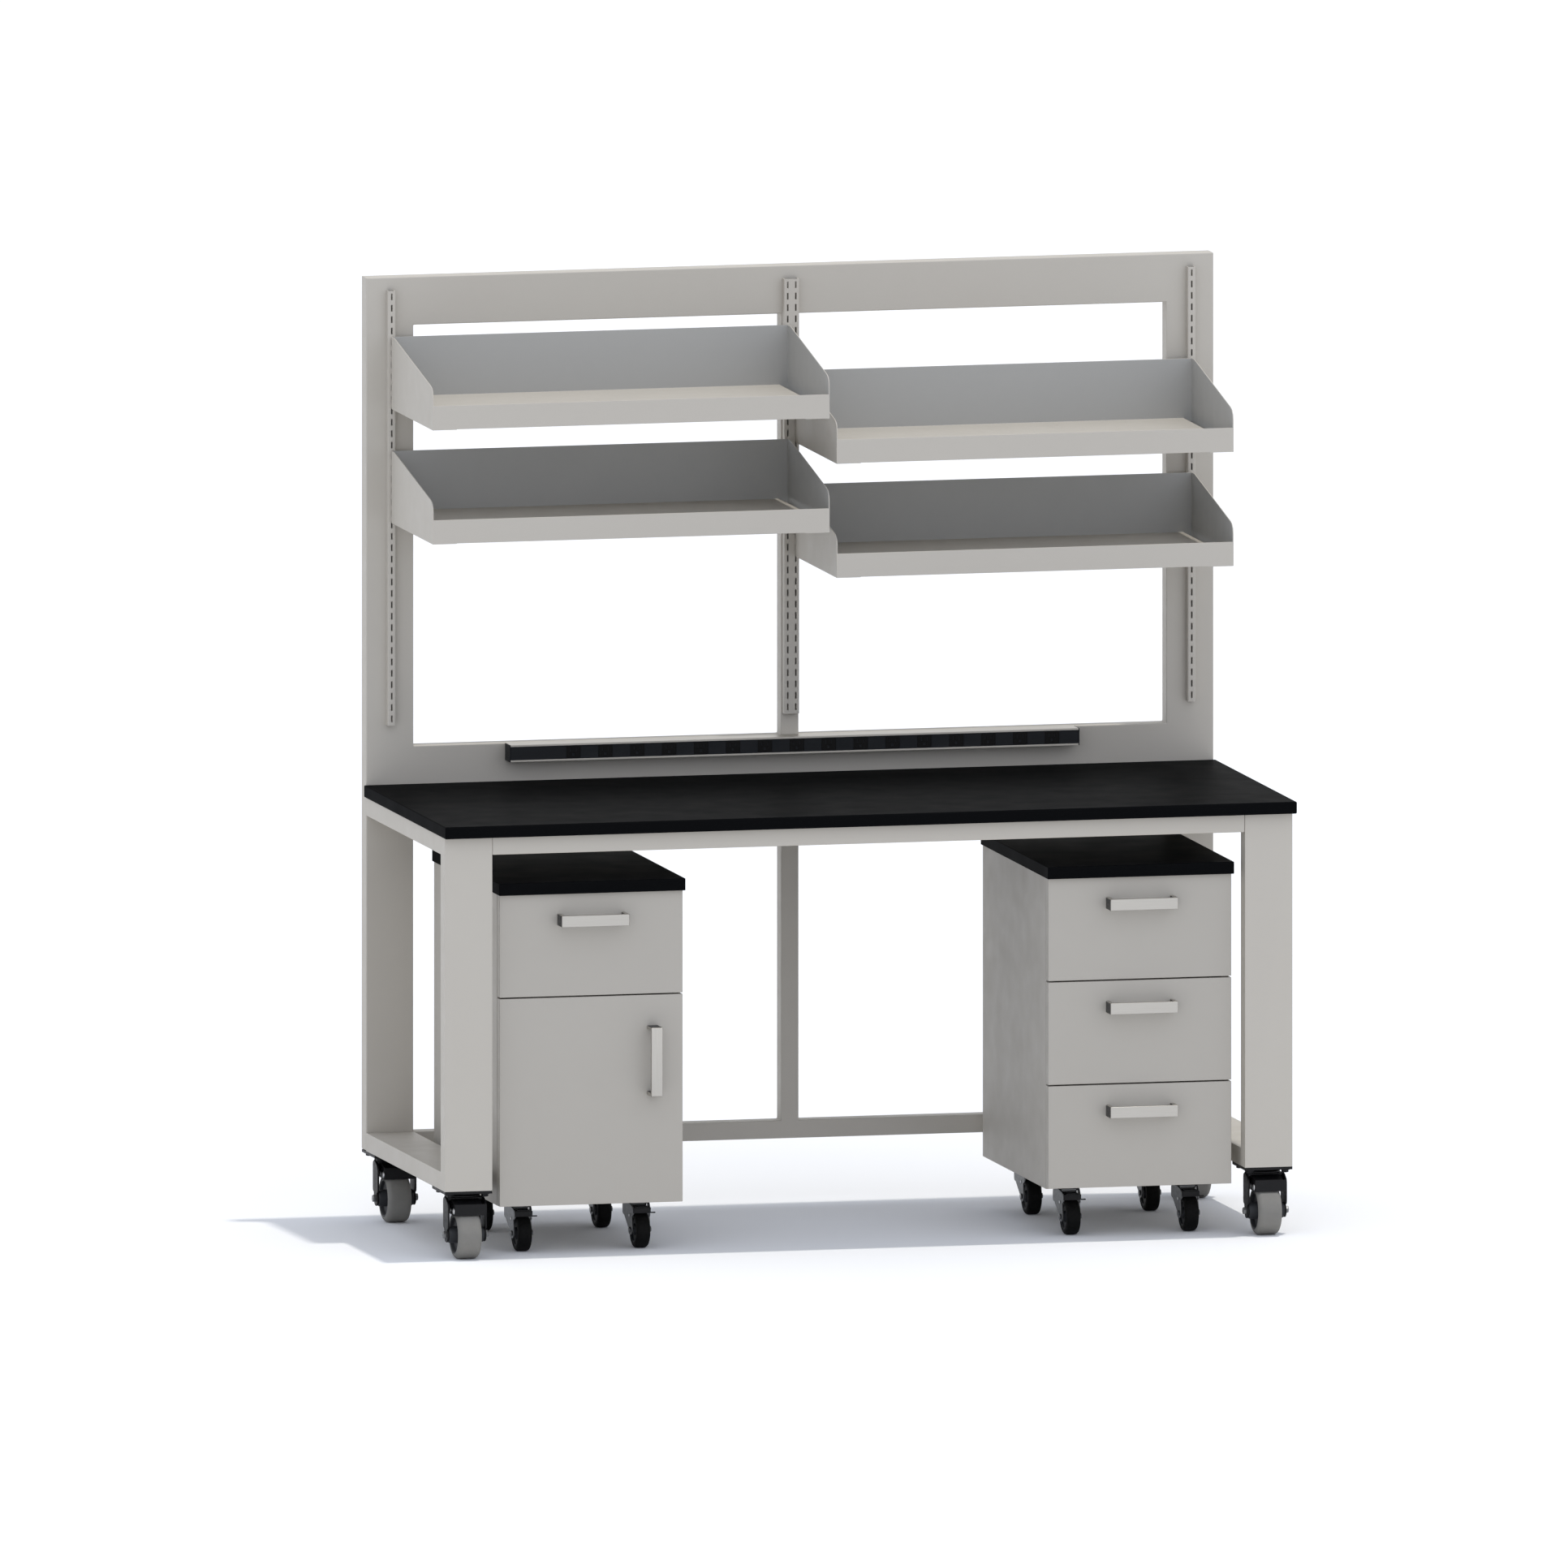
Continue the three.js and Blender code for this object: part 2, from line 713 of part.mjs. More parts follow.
// Pedestal carcass: an open-fronted box with drawer rails, caster plates, and hinge arms where it has a door
function carcass(drawerSlots, hasDoor) {
  const half = pedestalWidth / 2;
  const inside = [-insideHalfWidth, insideHalfWidth];
  const cavity = block(
    inside,
    [carcassFrontY - weld, pedestalRearY - backPanel],
    [pedestalBottom + wall, carcassTop - wall],
  );
  const box = block([-half, half], [carcassFrontY, pedestalRearY], [pedestalBottom, carcassTop]);
  const shell = cut(box, [cavity]);
  const fittings = [];
  for (const slot of drawerSlots) {
    const z = runnerZ(slot);
    for (const sign of [-1, 1]) {
      const rail = [insideHalfWidth - railThickness, insideHalfWidth + weld].map((x) => sign * x);
      fittings.push(block(
        rail.sort((a, b) => a - b),
        [carcassFrontY + railSetback, carcassFrontY + drawerBoxDepth],
        [z - railHeight / 2, z + railHeight / 2],
      ));
    }
  }
  if (hasDoor) {
    const shelfTop = frontTop(1) + frontGap;
    fittings.push(block(
      [-insideHalfWidth - weld, insideHalfWidth + weld],
      [carcassFrontY, pedestalRearY - weld],
      [shelfTop - wall, shelfTop],
    ));
    const doorBack = pedestalFrontY + frontThickness + fit;
    for (const z of [pedestalBottom + hingeArmInset, frontTop(1) - hingeArmInset]) {
      fittings.push(block(
        [-insideHalfWidth - weld, -insideHalfWidth + hingeArmWidth],
        [doorBack, doorBack + hingeArmReach],
        [z - hingeArmHeight / 2, z + hingeArmHeight / 2],
      ));
    }
    for (const z of [pedestalBottom + bumperInset, frontTop(1) - bumperInset]) {
      fittings.push(block(
        [insideHalfWidth + (wall - bumperSize) / 2, insideHalfWidth + (wall + bumperSize) / 2],
        [doorBack, carcassFrontY + weld],
        [z - bumperSize / 2, z + bumperSize / 2],
      ));
    }
  }
  const c = pedestalCaster;
  for (const [x, y] of casterPlaces()) {
    fittings.push(block(
      [x - c.plateWidth / 2, x + c.plateWidth / 2],
      [y - c.plateLength / 2, y + c.plateLength / 2],
      [pedestalBottom - c.plateThickness, pedestalBottom + weld],
    ));
  }
  return join(shell, ...fittings);
}

function casterPlaces() {
  const spanX = pedestalWidth / 2 - pedestalCasterInsetX;
  const rows = [pedestalFrontY + pedestalCasterInsetY, pedestalRearY - pedestalCasterInsetY];
  return [-spanX, spanX].flatMap((x) => rows.map((y) => [x, y]));
}

// Fronts are counted from the top, each one pitch high with a gap below it
function frontTop(slot) {
  return carcassTop - slot * frontPitch;
}

function frontBottom(slot) {
  return frontTop(slot + 1) + frontGap;
}

function runnerZ(slot) {
  return frontBottom(slot) + drawerBoxLift + railHeight;
}

function drawer(slot) {
  const half = pedestalWidth / 2;
  const boxHalf = insideHalfWidth - runnerSpace;
  const back = pedestalFrontY + frontThickness;
  const low = frontBottom(slot) + drawerBoxLift;
  const high = frontTop(slot) - drawerBoxHeadroom;
  const box = block([-boxHalf, boxHalf], [back - weld, back + drawerBoxDepth], [low, high]);
  const hollow = block(
    [-boxHalf + drawerWall, boxHalf - drawerWall],
    [back + drawerWall, back + drawerBoxDepth - drawerWall],
    [low + drawerFloor, high + weld],
  );
  const z = runnerZ(slot);
  const memberOuter = insideHalfWidth - railThickness - fit;
  const members = [-1, 1].map((sign) => block(
    [boxHalf - weld, memberOuter].map((x) => sign * x).sort((a, b) => a - b),
    [carcassFrontY + railSetback, back + drawerBoxDepth],
    [z - memberHeight / 2, z + memberHeight / 2],
  ));
  const front = block([-half, half], [pedestalFrontY, back], [frontBottom(slot), frontTop(slot)]);
  return join(cut(box, [hollow]), front, ...members);
}

function door() {
  const half = pedestalWidth / 2;
  return block(
    [-half, half],
    [pedestalFrontY, pedestalFrontY + frontThickness],
    [pedestalBottom, frontTop(1)],
  );
}

// Bar handle: a flat bar bent into a square U, its feet on the front at Y = 0
function handle() {
  const half = handleLength / 2;
  const r = handleCorner;
  const shape = new THREE.Shape();
  shape.moveTo(-half, 0);
  shape.lineTo(-half, -handleReach + r);
  shape.absarc(-half + r, -handleReach + r, r, Math.PI, Math.PI * 1.5, false);
  shape.absarc(half - r, -handleReach + r, r, Math.PI * 1.5, Math.PI * 2, false);
  shape.lineTo(half, 0);
  shape.lineTo(half - handleBar, 0);
  shape.lineTo(half - handleBar, -handleReach + handleBar);
  shape.lineTo(-half + handleBar, -handleReach + handleBar);
  shape.lineTo(-half + handleBar, 0);
  return prismZ(shape, [-handleHeight / 2, handleHeight / 2]);
}

function pedestalTop() {
  return block(
    [-pedestalWidth / 2 - slabSideOverhang, pedestalWidth / 2 + slabSideOverhang],
    [pedestalFrontY - slabFrontOverhang, pedestalRearY + slabSideOverhang],
    [slabBottom, pedestalTopHeight],
  );
}

function addPedestal(side, drawerSlots, hasDoor) {
  const pedestal = new THREE.Group();
  pedestal.position.x = sides[side] * pedestalCentreX;
  bench.add(pedestal);
  add(`${side}_pedestal_carcass`, carcass(drawerSlots, hasDoor), greyPaint, pedestal);
  add(`${side}_pedestal_top`, pedestalTop(), blackTop, pedestal);
  for (const slot of drawerSlots) {
    const name = `${side}_drawer_${slot + 1}`;
    add(name, drawer(slot), greyPaint, pedestal);
    const grip = add(`${name}_handle`, handle(), satinAluminium, pedestal);
    grip.position.set(0, pedestalFrontY - fit, frontTop(slot) - drawerHandleDrop);
  }
  if (hasDoor) {
    add(`${side}_door`, door(), greyPaint, pedestal);
    const grip = add(`${side}_door_handle`, handle(), satinAluminium, pedestal);
    const gripX = pedestalWidth / 2 - doorHandleInset;
    grip.position.set(gripX, pedestalFrontY - fit, frontTop(1) - doorHandleDrop);
    grip.rotation.y = Math.PI / 2;
  }
  for (const [x, y] of casterPlaces()) {
    const isFront = y < pedestalFrontY + pedestalDepth / 2;
    const place = `${isFront ? 'front' : 'rear'}_${x < 0 ? 'left' : 'right'}`;
    const name = `${side}_pedestal_caster_${place}`;
    const pedal = isFront ? pedestalPedal : null;
    addCaster(name, pedestalCaster, pedestal.position.x + x, y, pedal, blackRubber, zincSteel);
  }
}

addPedestal('left', [0], true);
addPedestal('right', [0, 1, 2], false);

export default bench;
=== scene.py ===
import json
import math

import bmesh
import bpy
from mathutils import Matrix, Vector


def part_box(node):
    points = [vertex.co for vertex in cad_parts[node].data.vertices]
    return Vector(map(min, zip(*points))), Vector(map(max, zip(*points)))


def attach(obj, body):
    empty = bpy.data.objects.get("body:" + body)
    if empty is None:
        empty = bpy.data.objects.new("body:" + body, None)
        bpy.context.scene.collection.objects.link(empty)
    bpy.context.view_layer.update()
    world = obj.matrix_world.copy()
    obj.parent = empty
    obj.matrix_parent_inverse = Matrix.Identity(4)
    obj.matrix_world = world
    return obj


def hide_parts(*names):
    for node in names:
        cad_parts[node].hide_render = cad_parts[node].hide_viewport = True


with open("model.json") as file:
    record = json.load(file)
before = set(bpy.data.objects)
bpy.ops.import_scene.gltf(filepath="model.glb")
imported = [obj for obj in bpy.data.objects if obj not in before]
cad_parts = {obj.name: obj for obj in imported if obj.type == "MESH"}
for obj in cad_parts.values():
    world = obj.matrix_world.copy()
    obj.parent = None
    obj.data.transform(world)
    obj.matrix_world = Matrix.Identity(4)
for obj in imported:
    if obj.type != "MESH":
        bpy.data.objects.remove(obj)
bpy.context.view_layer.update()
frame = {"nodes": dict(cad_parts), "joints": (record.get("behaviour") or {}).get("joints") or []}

# Camera: the photograph is a parallel view from the bench's left and a little above it.
# Its angles, scale and middle were read from the corners of the frame and the worktop.
MM = 0.001
PHOTO_SIDE = 1932
PHOTO_PIXELS_PER_MM = 0.59033
VIEW_TURN = math.radians(13.56)
VIEW_RISE = math.radians(7.22)
PHOTO_MIDDLE = (-92.6 * MM, 924.5 * MM)
CAMERA_DISTANCE = 8.0

picture_right = Vector((math.cos(VIEW_TURN), -math.sin(VIEW_TURN), 0))
picture_up = Vector((
    math.sin(VIEW_TURN) * math.sin(VIEW_RISE),
    math.cos(VIEW_TURN) * math.sin(VIEW_RISE),
    math.cos(VIEW_RISE),
))
towards_camera = picture_right.cross(picture_up)
lens = bpy.data.cameras.new("camera")
lens.type = "ORTHO"
lens.ortho_scale = PHOTO_SIDE / PHOTO_PIXELS_PER_MM * MM
camera = bpy.data.objects.new("camera", lens)
bpy.context.scene.collection.objects.link(camera)
camera.matrix_world = Matrix((picture_right, picture_up, towards_camera)).transposed().to_4x4()
camera.location = (
    picture_right * PHOTO_MIDDLE[0] + picture_up * PHOTO_MIDDLE[1] + towards_camera * CAMERA_DISTANCE
)
bpy.context.scene.camera = camera

# Rear frame: one weldment of 4 by 1.5 inch steel tube, its uprights tied by a top rail, a back
# rail, a centre post and a foot stretcher. It is powder coated after the welds are dressed flush.
TUBE_CORNER = 2.6 * MM
HAIR = 0.1 * MM
ROUND_ABOVE = math.radians(30)
FLAT_BELOW = math.radians(0.5)
COAT_COLOUR = "#b8b3a9"
COAT_SHADE = "#b6b0a6"


def linear(colour):
    """The linear RGBA of an sRGB hex colour."""
    channels = [int(colour[i:i + 2], 16) / 255 for i in (1, 3, 5)]
    bent = [c / 12.92 if c <= 0.04045 else ((c + 0.055) / 1.055) ** 2.4 for c in channels]
    return (*bent, 1.0)


def add_node(tree, kind, values, links):
    """Adds a node, sets its properties and input values, and links sockets to its inputs."""
    node = tree.nodes.new(kind)
    for key, value in values.items():
        if isinstance(key, str) and hasattr(node, key):
            setattr(node, key, value)
        else:
            node.inputs[key].default_value = value
    for key, socket in links.items():
        tree.links.new(socket, node.inputs[key])
    return node


def new_finish(name, values):
    """A material whose shader has these values, with its node tree, its shader and its coordinates."""
    material = bpy.data.materials.new(name)
    material.use_nodes = True
    tree = material.node_tree
    shader = tree.nodes["Principled BSDF"]
    for key, value in values.items():
        shader.inputs[key].default_value = value
    place = add_node(tree, "ShaderNodeTexCoord", {}, {}).outputs["Object"]
    return material, tree, shader, place


def noise(tree, place, size, detail=2.0, stretch=(1, 1, 1)):
    """A cloudy pattern with features of a real size, which may be drawn out along an axis."""
    scale = tuple(1 / (size * s) for s in stretch)
    spot = add_node(tree, "ShaderNodeMapping", {"Scale": scale}, {"Vector": place}).outputs[0]
    return add_node(tree, "ShaderNodeTexNoise", {"Scale": 1.0, "Detail": detail}, {"Vector": spot}).outputs[0]


def vary_colour(tree, shader, pattern, colour, other):
    """Lets a pattern carry the base colour from one tone to another."""
    tones = {"data_type": "RGBA", 6: linear(colour), 7: linear(other)}
    mixed = add_node(tree, "ShaderNodeMix", tones, {0: pattern})
    tree.links.new(mixed.outputs[2], shader.inputs["Base Color"])


def vary_gloss(tree, shader, pattern, low, high):
    """Lets a pattern carry the roughness between two values."""
    spread = {"From Min": 0.3, "From Max": 0.7, "To Min": low, "To Max": high}
    rough = add_node(tree, "ShaderNodeMapRange", spread, {"Value": pattern})
    tree.links.new(rough.outputs[0], shader.inputs["Roughness"])


def raise_grain(tree, shader, pattern, strength, height):
    """Turns a pattern into a fine relief of the surface."""
    relief = add_node(tree, "ShaderNodeBump", {"Strength": strength, "Distance": height}, {"Height": pattern})
    tree.links.new(relief.outputs[0], shader.inputs["Normal"])


def powder_coat(name, colour, shade):
    """Baked polyester powder: an even satin paint with a faint orange peel, drawn at twice its real size."""
    film_drift = 260 * MM
    gloss_patch = 45 * MM
    orange_peel = 3.2 * MM
    material, tree, shader, place = new_finish(name, {"IOR": 1.5, "Specular IOR Level": 0.35})
    vary_colour(tree, shader, noise(tree, place, film_drift), colour, shade)
    vary_gloss(tree, shader, noise(tree, place, gloss_patch, 4.0), 0.46, 0.6)
    raise_grain(tree, shader, noise(tree, place, orange_peel), 0.12, 0.15 * MM)
    return material


def copy_of(node):
    """A CAD node's shape with its loose triangles merged into whole flat faces."""
    shape = bmesh.new()
    shape.from_mesh(frame["nodes"][node].data)
    bmesh.ops.remove_doubles(shape, verts=shape.verts, dist=0.005 * MM)
    bmesh.ops.dissolve_limit(shape, angle_limit=FLAT_BELOW, verts=shape.verts, edges=shape.edges)
    shape.normal_update()
    return shape


def object_from(name, shape):
    """An object in the scene that takes over a shape."""
    mesh = bpy.data.meshes.new(name)
    shape.to_mesh(mesh)
    shape.free()
    made = bpy.data.objects.new(name, mesh)
    bpy.context.scene.collection.objects.link(made)
    return made


def dress(name, shape, body, finishes, stands_for=(), corner=0.0, steps=3):
    """Turns a shape into a piece on a body, with its sharp edges eased to a corner radius."""
    piece = object_from(name, shape)
    mesh = piece.data
    for material in finishes:
        mesh.materials.append(material)
    mesh.polygons.foreach_set("use_smooth", [True] * len(mesh.polygons))
    mesh.set_sharp_from_angle(angle=ROUND_ABOVE)
    if corner:
        easing = piece.modifiers.new("eased_edges", "BEVEL")
        easing.width = corner
        easing.segments = steps
        easing.limit_method = "ANGLE"
        easing.angle_limit = ROUND_ABOVE
        easing.harden_normals = True
    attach(piece, body)
    if stands_for:
        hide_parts(*stands_for)
    return piece


grey_coat = powder_coat("grey_powder_coat_on_steel", COAT_COLOUR, COAT_SHADE)
dress("rear_frame_tubes", copy_of("rear_frame"), "bench", [grey_coat],
      ["rear_frame"], TUBE_CORNER)

# Side frames: front leg, foot rail and top rail of the same tube, welded into a C on each side.
# A black caster plate is bolted under each end with four hex bolts on washers.
PLATE_BOLT_ACROSS = 13 * MM
PLATE_BOLT_HEIGHT = 5.5 * MM
WASHER_RADIUS = 10.5 * MM
WASHER_HEIGHT = 1.6 * MM
PLATE_BOLT_INSET = 13 * MM
PLATE_LENGTH = 114.3 * MM
BLACK_COAT = "#08080a"
BLACK_COAT_SHADE = "#0d0d0f"
ZINC = "#7d7e7f"
ZINC_SHADE = "#727374"


def black_coat(name):
    """Black cathodic dip paint on pressed steel: thin and even, so the sheet's own waviness shows."""
    film_drift = 30 * MM
    gloss_patch = 8 * MM
    sheet_wave = 2.5 * MM
    material, tree, shader, place = new_finish(name, {"IOR": 1.5, "Specular IOR Level": 0.22})
    vary_colour(tree, shader, noise(tree, place, film_drift), BLACK_COAT, BLACK_COAT_SHADE)
    vary_gloss(tree, shader, noise(tree, place, gloss_patch, 4.0), 0.42, 0.54)
    raise_grain(tree, shader, noise(tree, place, sheet_wave), 0.1, 0.1 * MM)
    return material


def clouded_metal(name, colour, shade):
    """A metal whose sheen is clouded in soft patches: plated zinc, and the dark grey of painted shade on the
    handles' posts.
    """
    cloud = 12 * MM
    gloss_patch = 6 * MM
    film_grain = 1.5 * MM
    material, tree, shader, place = new_finish(name, {"Metallic": 1.0})
    vary_colour(tree, shader, noise(tree, place, cloud, 5.0), colour, shade)
    vary_gloss(tree, shader, noise(tree, place, gloss_patch, 4.0), 0.34, 0.5)
    raise_grain(tree, shader, noise(tree, place, film_grain), 0.08, 0.05 * MM)
    return material


def turned(shape, profile, centre, axis, steps=48):
    """Adds a closed ring of (radius, along) points turned about an axis through a centre."""
    along = Vector(axis).normalized()
    outward = along.orthogonal().normalized()
    rings = []
    for step in range(steps):
        spoke = Matrix.Rotation(math.tau * step / steps, 3, along) @ outward
        rings.append([shape.verts.new(Vector(centre) + spoke * r + along * a) for r, a in profile])
    made = []
    for step, ring in enumerate(rings):
        following = rings[(step + 1) % steps]
        for i in range(len(profile)):
            j = (i + 1) % len(profile)
            made.append(shape.faces.new((ring[i], ring[j], following[j], following[i])))
    bmesh.ops.recalc_face_normals(shape, faces=made)
    bmesh.ops.remove_doubles(shape, verts=[v for ring in rings for v in ring], dist=0.001 * MM)


def hex_bolt(across, height, washer_radius, washer_height, axis):
    """A hex head on a round washer, standing out along an axis from the origin."""
    shape = bmesh.new()
    point = across / math.sqrt(3)
    chamfer = 0.12 * across
    top = washer_height + height
    head = [
        (0, washer_height), (point, washer_height), (point, top - chamfer / 2),
        (point - chamfer, top), (0, top),
    ]
    washer = [(0, 0), (washer_radius, 0), (washer_radius, washer_height), (0, washer_height)]
    turned(shape, head, (0, 0, 0), axis, 6)
    turned(shape, washer, (0, 0, 0), axis, 24)
    return shape


def new_tree(name, inputs):
    """A geometry tree with named inputs and one geometry to give, and the sockets of those inputs."""
    tree = bpy.data.node_groups.new(name, "GeometryNodeTree")
    for label, kind in inputs.items():
        tree.interface.new_socket(label, in_out="INPUT", socket_type=f"NodeSocket{kind}")
    tree.interface.new_socket("Geometry", in_out="OUTPUT", socket_type="NodeSocketGeometry")
    return tree, tree.nodes.new("NodeGroupInput").outputs


def rows_tree():
    """Geometry nodes that set copies of a part in columns and rows and make them one mesh."""
    tree, given = new_tree("set_in_rows", {
        "Part": "Object", "Start": "Vector", "Column Step": "Vector", "Columns": "Int",
        "Row Step": "Vector", "Rows": "Int", "Finish": "Material",
    })
    part = add_node(tree, "GeometryNodeObjectInfo", {}, {"Object": given["Part"]}).outputs["Geometry"]
    column = add_node(tree, "GeometryNodeMeshLine", {"mode": "OFFSET"},
                      {"Count": given["Columns"], "Offset": given["Column Step"]}).outputs[0]
    row = add_node(tree, "GeometryNodeMeshLine", {"mode": "OFFSET"},
                   {"Count": given["Rows"], "Start Location": given["Start"],
                    "Offset": given["Row Step"]}).outputs[0]
    for points in (column, row):
        links = {"Points": points, "Instance": part}
        part = add_node(tree, "GeometryNodeInstanceOnPoints", {}, links).outputs[0]
    whole = add_node(tree, "GeometryNodeRealizeInstances", {}, {"Geometry": part}).outputs[0]
    coated = add_node(tree, "GeometryNodeSetMaterial", {}, {"Geometry": whole, "Material": given["Finish"]})
    add_node(tree, "NodeGroupOutput", {}, {"Geometry": coated.outputs[0]})
    return tree


def run_tree(tree, host_shape, values):
    """Runs a geometry tree on a shape with named inputs and gives the result as a plain shape."""
    host = object_from("host", host_shape)
    modifier = host.modifiers.new("tree", "NODES")
    modifier.node_group = tree
    for item in tree.interface.items_tree:
        if item.in_out == "INPUT" and item.name in values:
            modifier[item.identifier] = values[item.name]
    evaluated = host.evaluated_get(bpy.context.evaluated_depsgraph_get())
    plain = bpy.data.meshes.new_from_object(evaluated)
    bpy.data.objects.remove(host)
    shape = bmesh.new()
    shape.from_mesh(plain)
    return shape


set_in_rows = rows_tree()


def rows_of(part_shape, finish, start, column_step, columns, row_step=(0, 0, 0), rows=1):
    """Copies of a part in columns and rows, as one shape."""
    part = object_from("part", part_shape)
    shape = run_tree(set_in_rows, bmesh.new(), {
        "Part": part, "Start": tuple(start), "Column Step": tuple(column_step), "Columns": columns,
        "Row Step": tuple(row_step), "Rows": rows, "Finish": finish,
    })
    bpy.data.objects.remove(part)
    return shape


black_steel = black_coat("black_dip_coat_on_steel")
zinc_steel = clouded_metal("zinc_plated_steel", ZINC, ZINC_SHADE)
frame_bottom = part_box("rear_frame")[0].z
for side in ("left", "right"):
    node = f"side_frame_{side}"
    low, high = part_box(node)
    tubes = copy_of(node)
    everything = list(tubes.verts) + list(tubes.edges) + list(tubes.faces)
    bmesh.ops.bisect_plane(tubes, geom=everything, plane_co=(0, 0, frame_bottom), plane_no=(0, 0, 1))
    for face in tubes.faces:
        face.material_index = int(face.calc_center_median().z < frame_bottom - HAIR)
    dress(f"{node}_tubes", tubes, "bench", [grey_coat, black_steel], [node], TUBE_CORNER)
    for end, first_y in (("front", low.y), ("rear", high.y - PLATE_LENGTH)):
        bolt = hex_bolt(PLATE_BOLT_ACROSS, PLATE_BOLT_HEIGHT, WASHER_RADIUS, WASHER_HEIGHT, (0, 0, -1))
        bolts = rows_of(
            bolt, black_steel,
            (low.x + PLATE_BOLT_INSET, first_y + PLATE_BOLT_INSET, low.z),
            (high.x - low.x - 2 * PLATE_BOLT_INSET, 0, 0), 2,
            (0, PLATE_LENGTH - 2 * PLATE_BOLT_INSET, 0), 2,
        )
        dress(f"caster_plate_bolts_{end}_{side}", bolts, "bench", [black_steel])

# Front apron: a length of square tube welded between the front legs, close under the worktop.
# It has the frame's own coat.
dress("front_apron_tube", copy_of("front_apron"), "bench", [grey_coat],
      ["front_apron"], TUBE_CORNER)

# Worktop: a one inch slab of black phenolic resin, pressed flat and sealed, with eased edges.
# It lies on the frame's top rails and is screwed from below.
WORKTOP_EDGE = 1.2 * MM
RESIN_BLACK = "#0b0b0c"
RESIN_GREY = "#0f1011"


def resin_board(name):
    """Phenolic resin board: a dense black sheet with a very fine pebble that breaks up reflections."""
    fleck = 5 * MM
    gloss_patch = 70 * MM
    pebble = 1.6 * MM
    material, tree, shader, place = new_finish(name, {"IOR": 1.5, "Specular IOR Level": 0.004})
    vary_colour(tree, shader, noise(tree, place, fleck, 6.0), RESIN_BLACK, RESIN_GREY)
    vary_gloss(tree, shader, noise(tree, place, gloss_patch, 4.0), 0.46, 0.52)
    raise_grain(tree, shader, noise(tree, place, pebble), 0.1, 0.1 * MM)
    return material


black_resin = resin_board("black_phenolic_resin_board")
dress("worktop_slab", copy_of("worktop"), "bench", [black_resin], ["worktop"], WORKTOP_EDGE)

# Slotted standards: roll-formed steel channels on the face of the rear frame, open at the back.
# Narrow slots at a fixed pitch are punched through the face, in one column or in two.
CHANNEL_WALL = 2 * MM
CHANNEL_BEND = 1.2 * MM
SLOT_WIDTH = 3.4 * MM
SLOT_HEIGHT = 14 * MM
SLOT_PITCH = 24 * MM
FIRST_SLOT_DROP = 12 * MM
SLOT_COLUMN_SPACING = 17.2 * MM
SLOT_COUNT = 38


def punch_tree():
    """Geometry nodes that punch columns of slots through a channel."""
    tree, given = new_tree("punch_slots", {
        "Channel": "Geometry", "Slot Size": "Vector", "First Slot": "Vector", "Pitch": "Vector",
        "Slots": "Int", "Column Step": "Vector", "Columns": "Int", "Finish": "Material",
    })
    punch = add_node(tree, "GeometryNodeMeshCube", {}, {"Size": given["Slot Size"]}).outputs[0]
    slots = add_node(tree, "GeometryNodeMeshLine", {"mode": "OFFSET"},
                     {"Count": given["Slots"], "Offset": given["Pitch"]}).outputs[0]
    columns = add_node(tree, "GeometryNodeMeshLine", {"mode": "OFFSET"},
                       {"Count": given["Columns"], "Start Location": given["First Slot"],
                        "Offset": given["Column Step"]}).outputs[0]
    for points in (slots, columns):
        links = {"Points": points, "Instance": punch}
        punch = add_node(tree, "GeometryNodeInstanceOnPoints", {}, links).outputs[0]
    punches = add_node(tree, "GeometryNodeRealizeInstances", {}, {"Geometry": punch}).outputs[0]
    punched = add_node(tree, "GeometryNodeMeshBoolean", {"operation": "DIFFERENCE", "solver": "EXACT"},
                       {"Mesh 1": given["Channel"], "Mesh 2": punches}).outputs[0]
    whole = add_node(tree, "GeometryNodeRealizeInstances", {}, {"Geometry": punched}).outputs[0]
    coated = add_node(tree, "GeometryNodeSetMaterial", {}, {"Geometry": whole, "Material": given["Finish"]})
    add_node(tree, "NodeGroupOutput", {}, {"Geometry": coated.outputs[0]})
    return tree


def prism(shape, outline, start, end, place=Matrix.Identity(4)):
    """Adds a closed prism from an outline of points, drawn out from one offset to another."""
    low = [shape.verts.new(place @ (Vector(p) + Vector(start))) for p in outline]
    high = [shape.verts.new(place @ (Vector(p) + Vector(end))) for p in outline]
    made = [shape.faces.new(low), shape.faces.new(high)]
    for i in range(len(outline)):
        j = (i + 1) % len(outline)
        made.append(shape.faces.new((low[i], low[j], high[j], high[i])))
    bmesh.ops.recalc_face_normals(shape, faces=made)


def channel(low, high):
    """A channel between two corners, with rounded bends at its face and its back open."""
    bend = [CHANNEL_BEND * (1 - math.cos(math.radians(a))) for a in (0, 30, 60, 90)]
    drop = [CHANNEL_BEND * (1 - math.sin(math.radians(a))) for a in (0, 30, 60, 90)]
    left = [(low.x + b, low.y + d, 0) for b, d in zip(bend, drop)]
    right = [(high.x - b, low.y + d, 0) for b, d in reversed(list(zip(bend, drop)))]
    inside = [
        (high.x, high.y, 0), (high.x - CHANNEL_WALL, high.y, 0),
        (high.x - CHANNEL_WALL, low.y + CHANNEL_WALL, 0), (low.x + CHANNEL_WALL, low.y + CHANNEL_WALL, 0),
        (low.x + CHANNEL_WALL, high.y, 0), (low.x, high.y, 0),
    ]
    shape = bmesh.new()
    prism(shape, left + right + inside, (0, 0, low.z), (0, 0, high.z))
    return shape


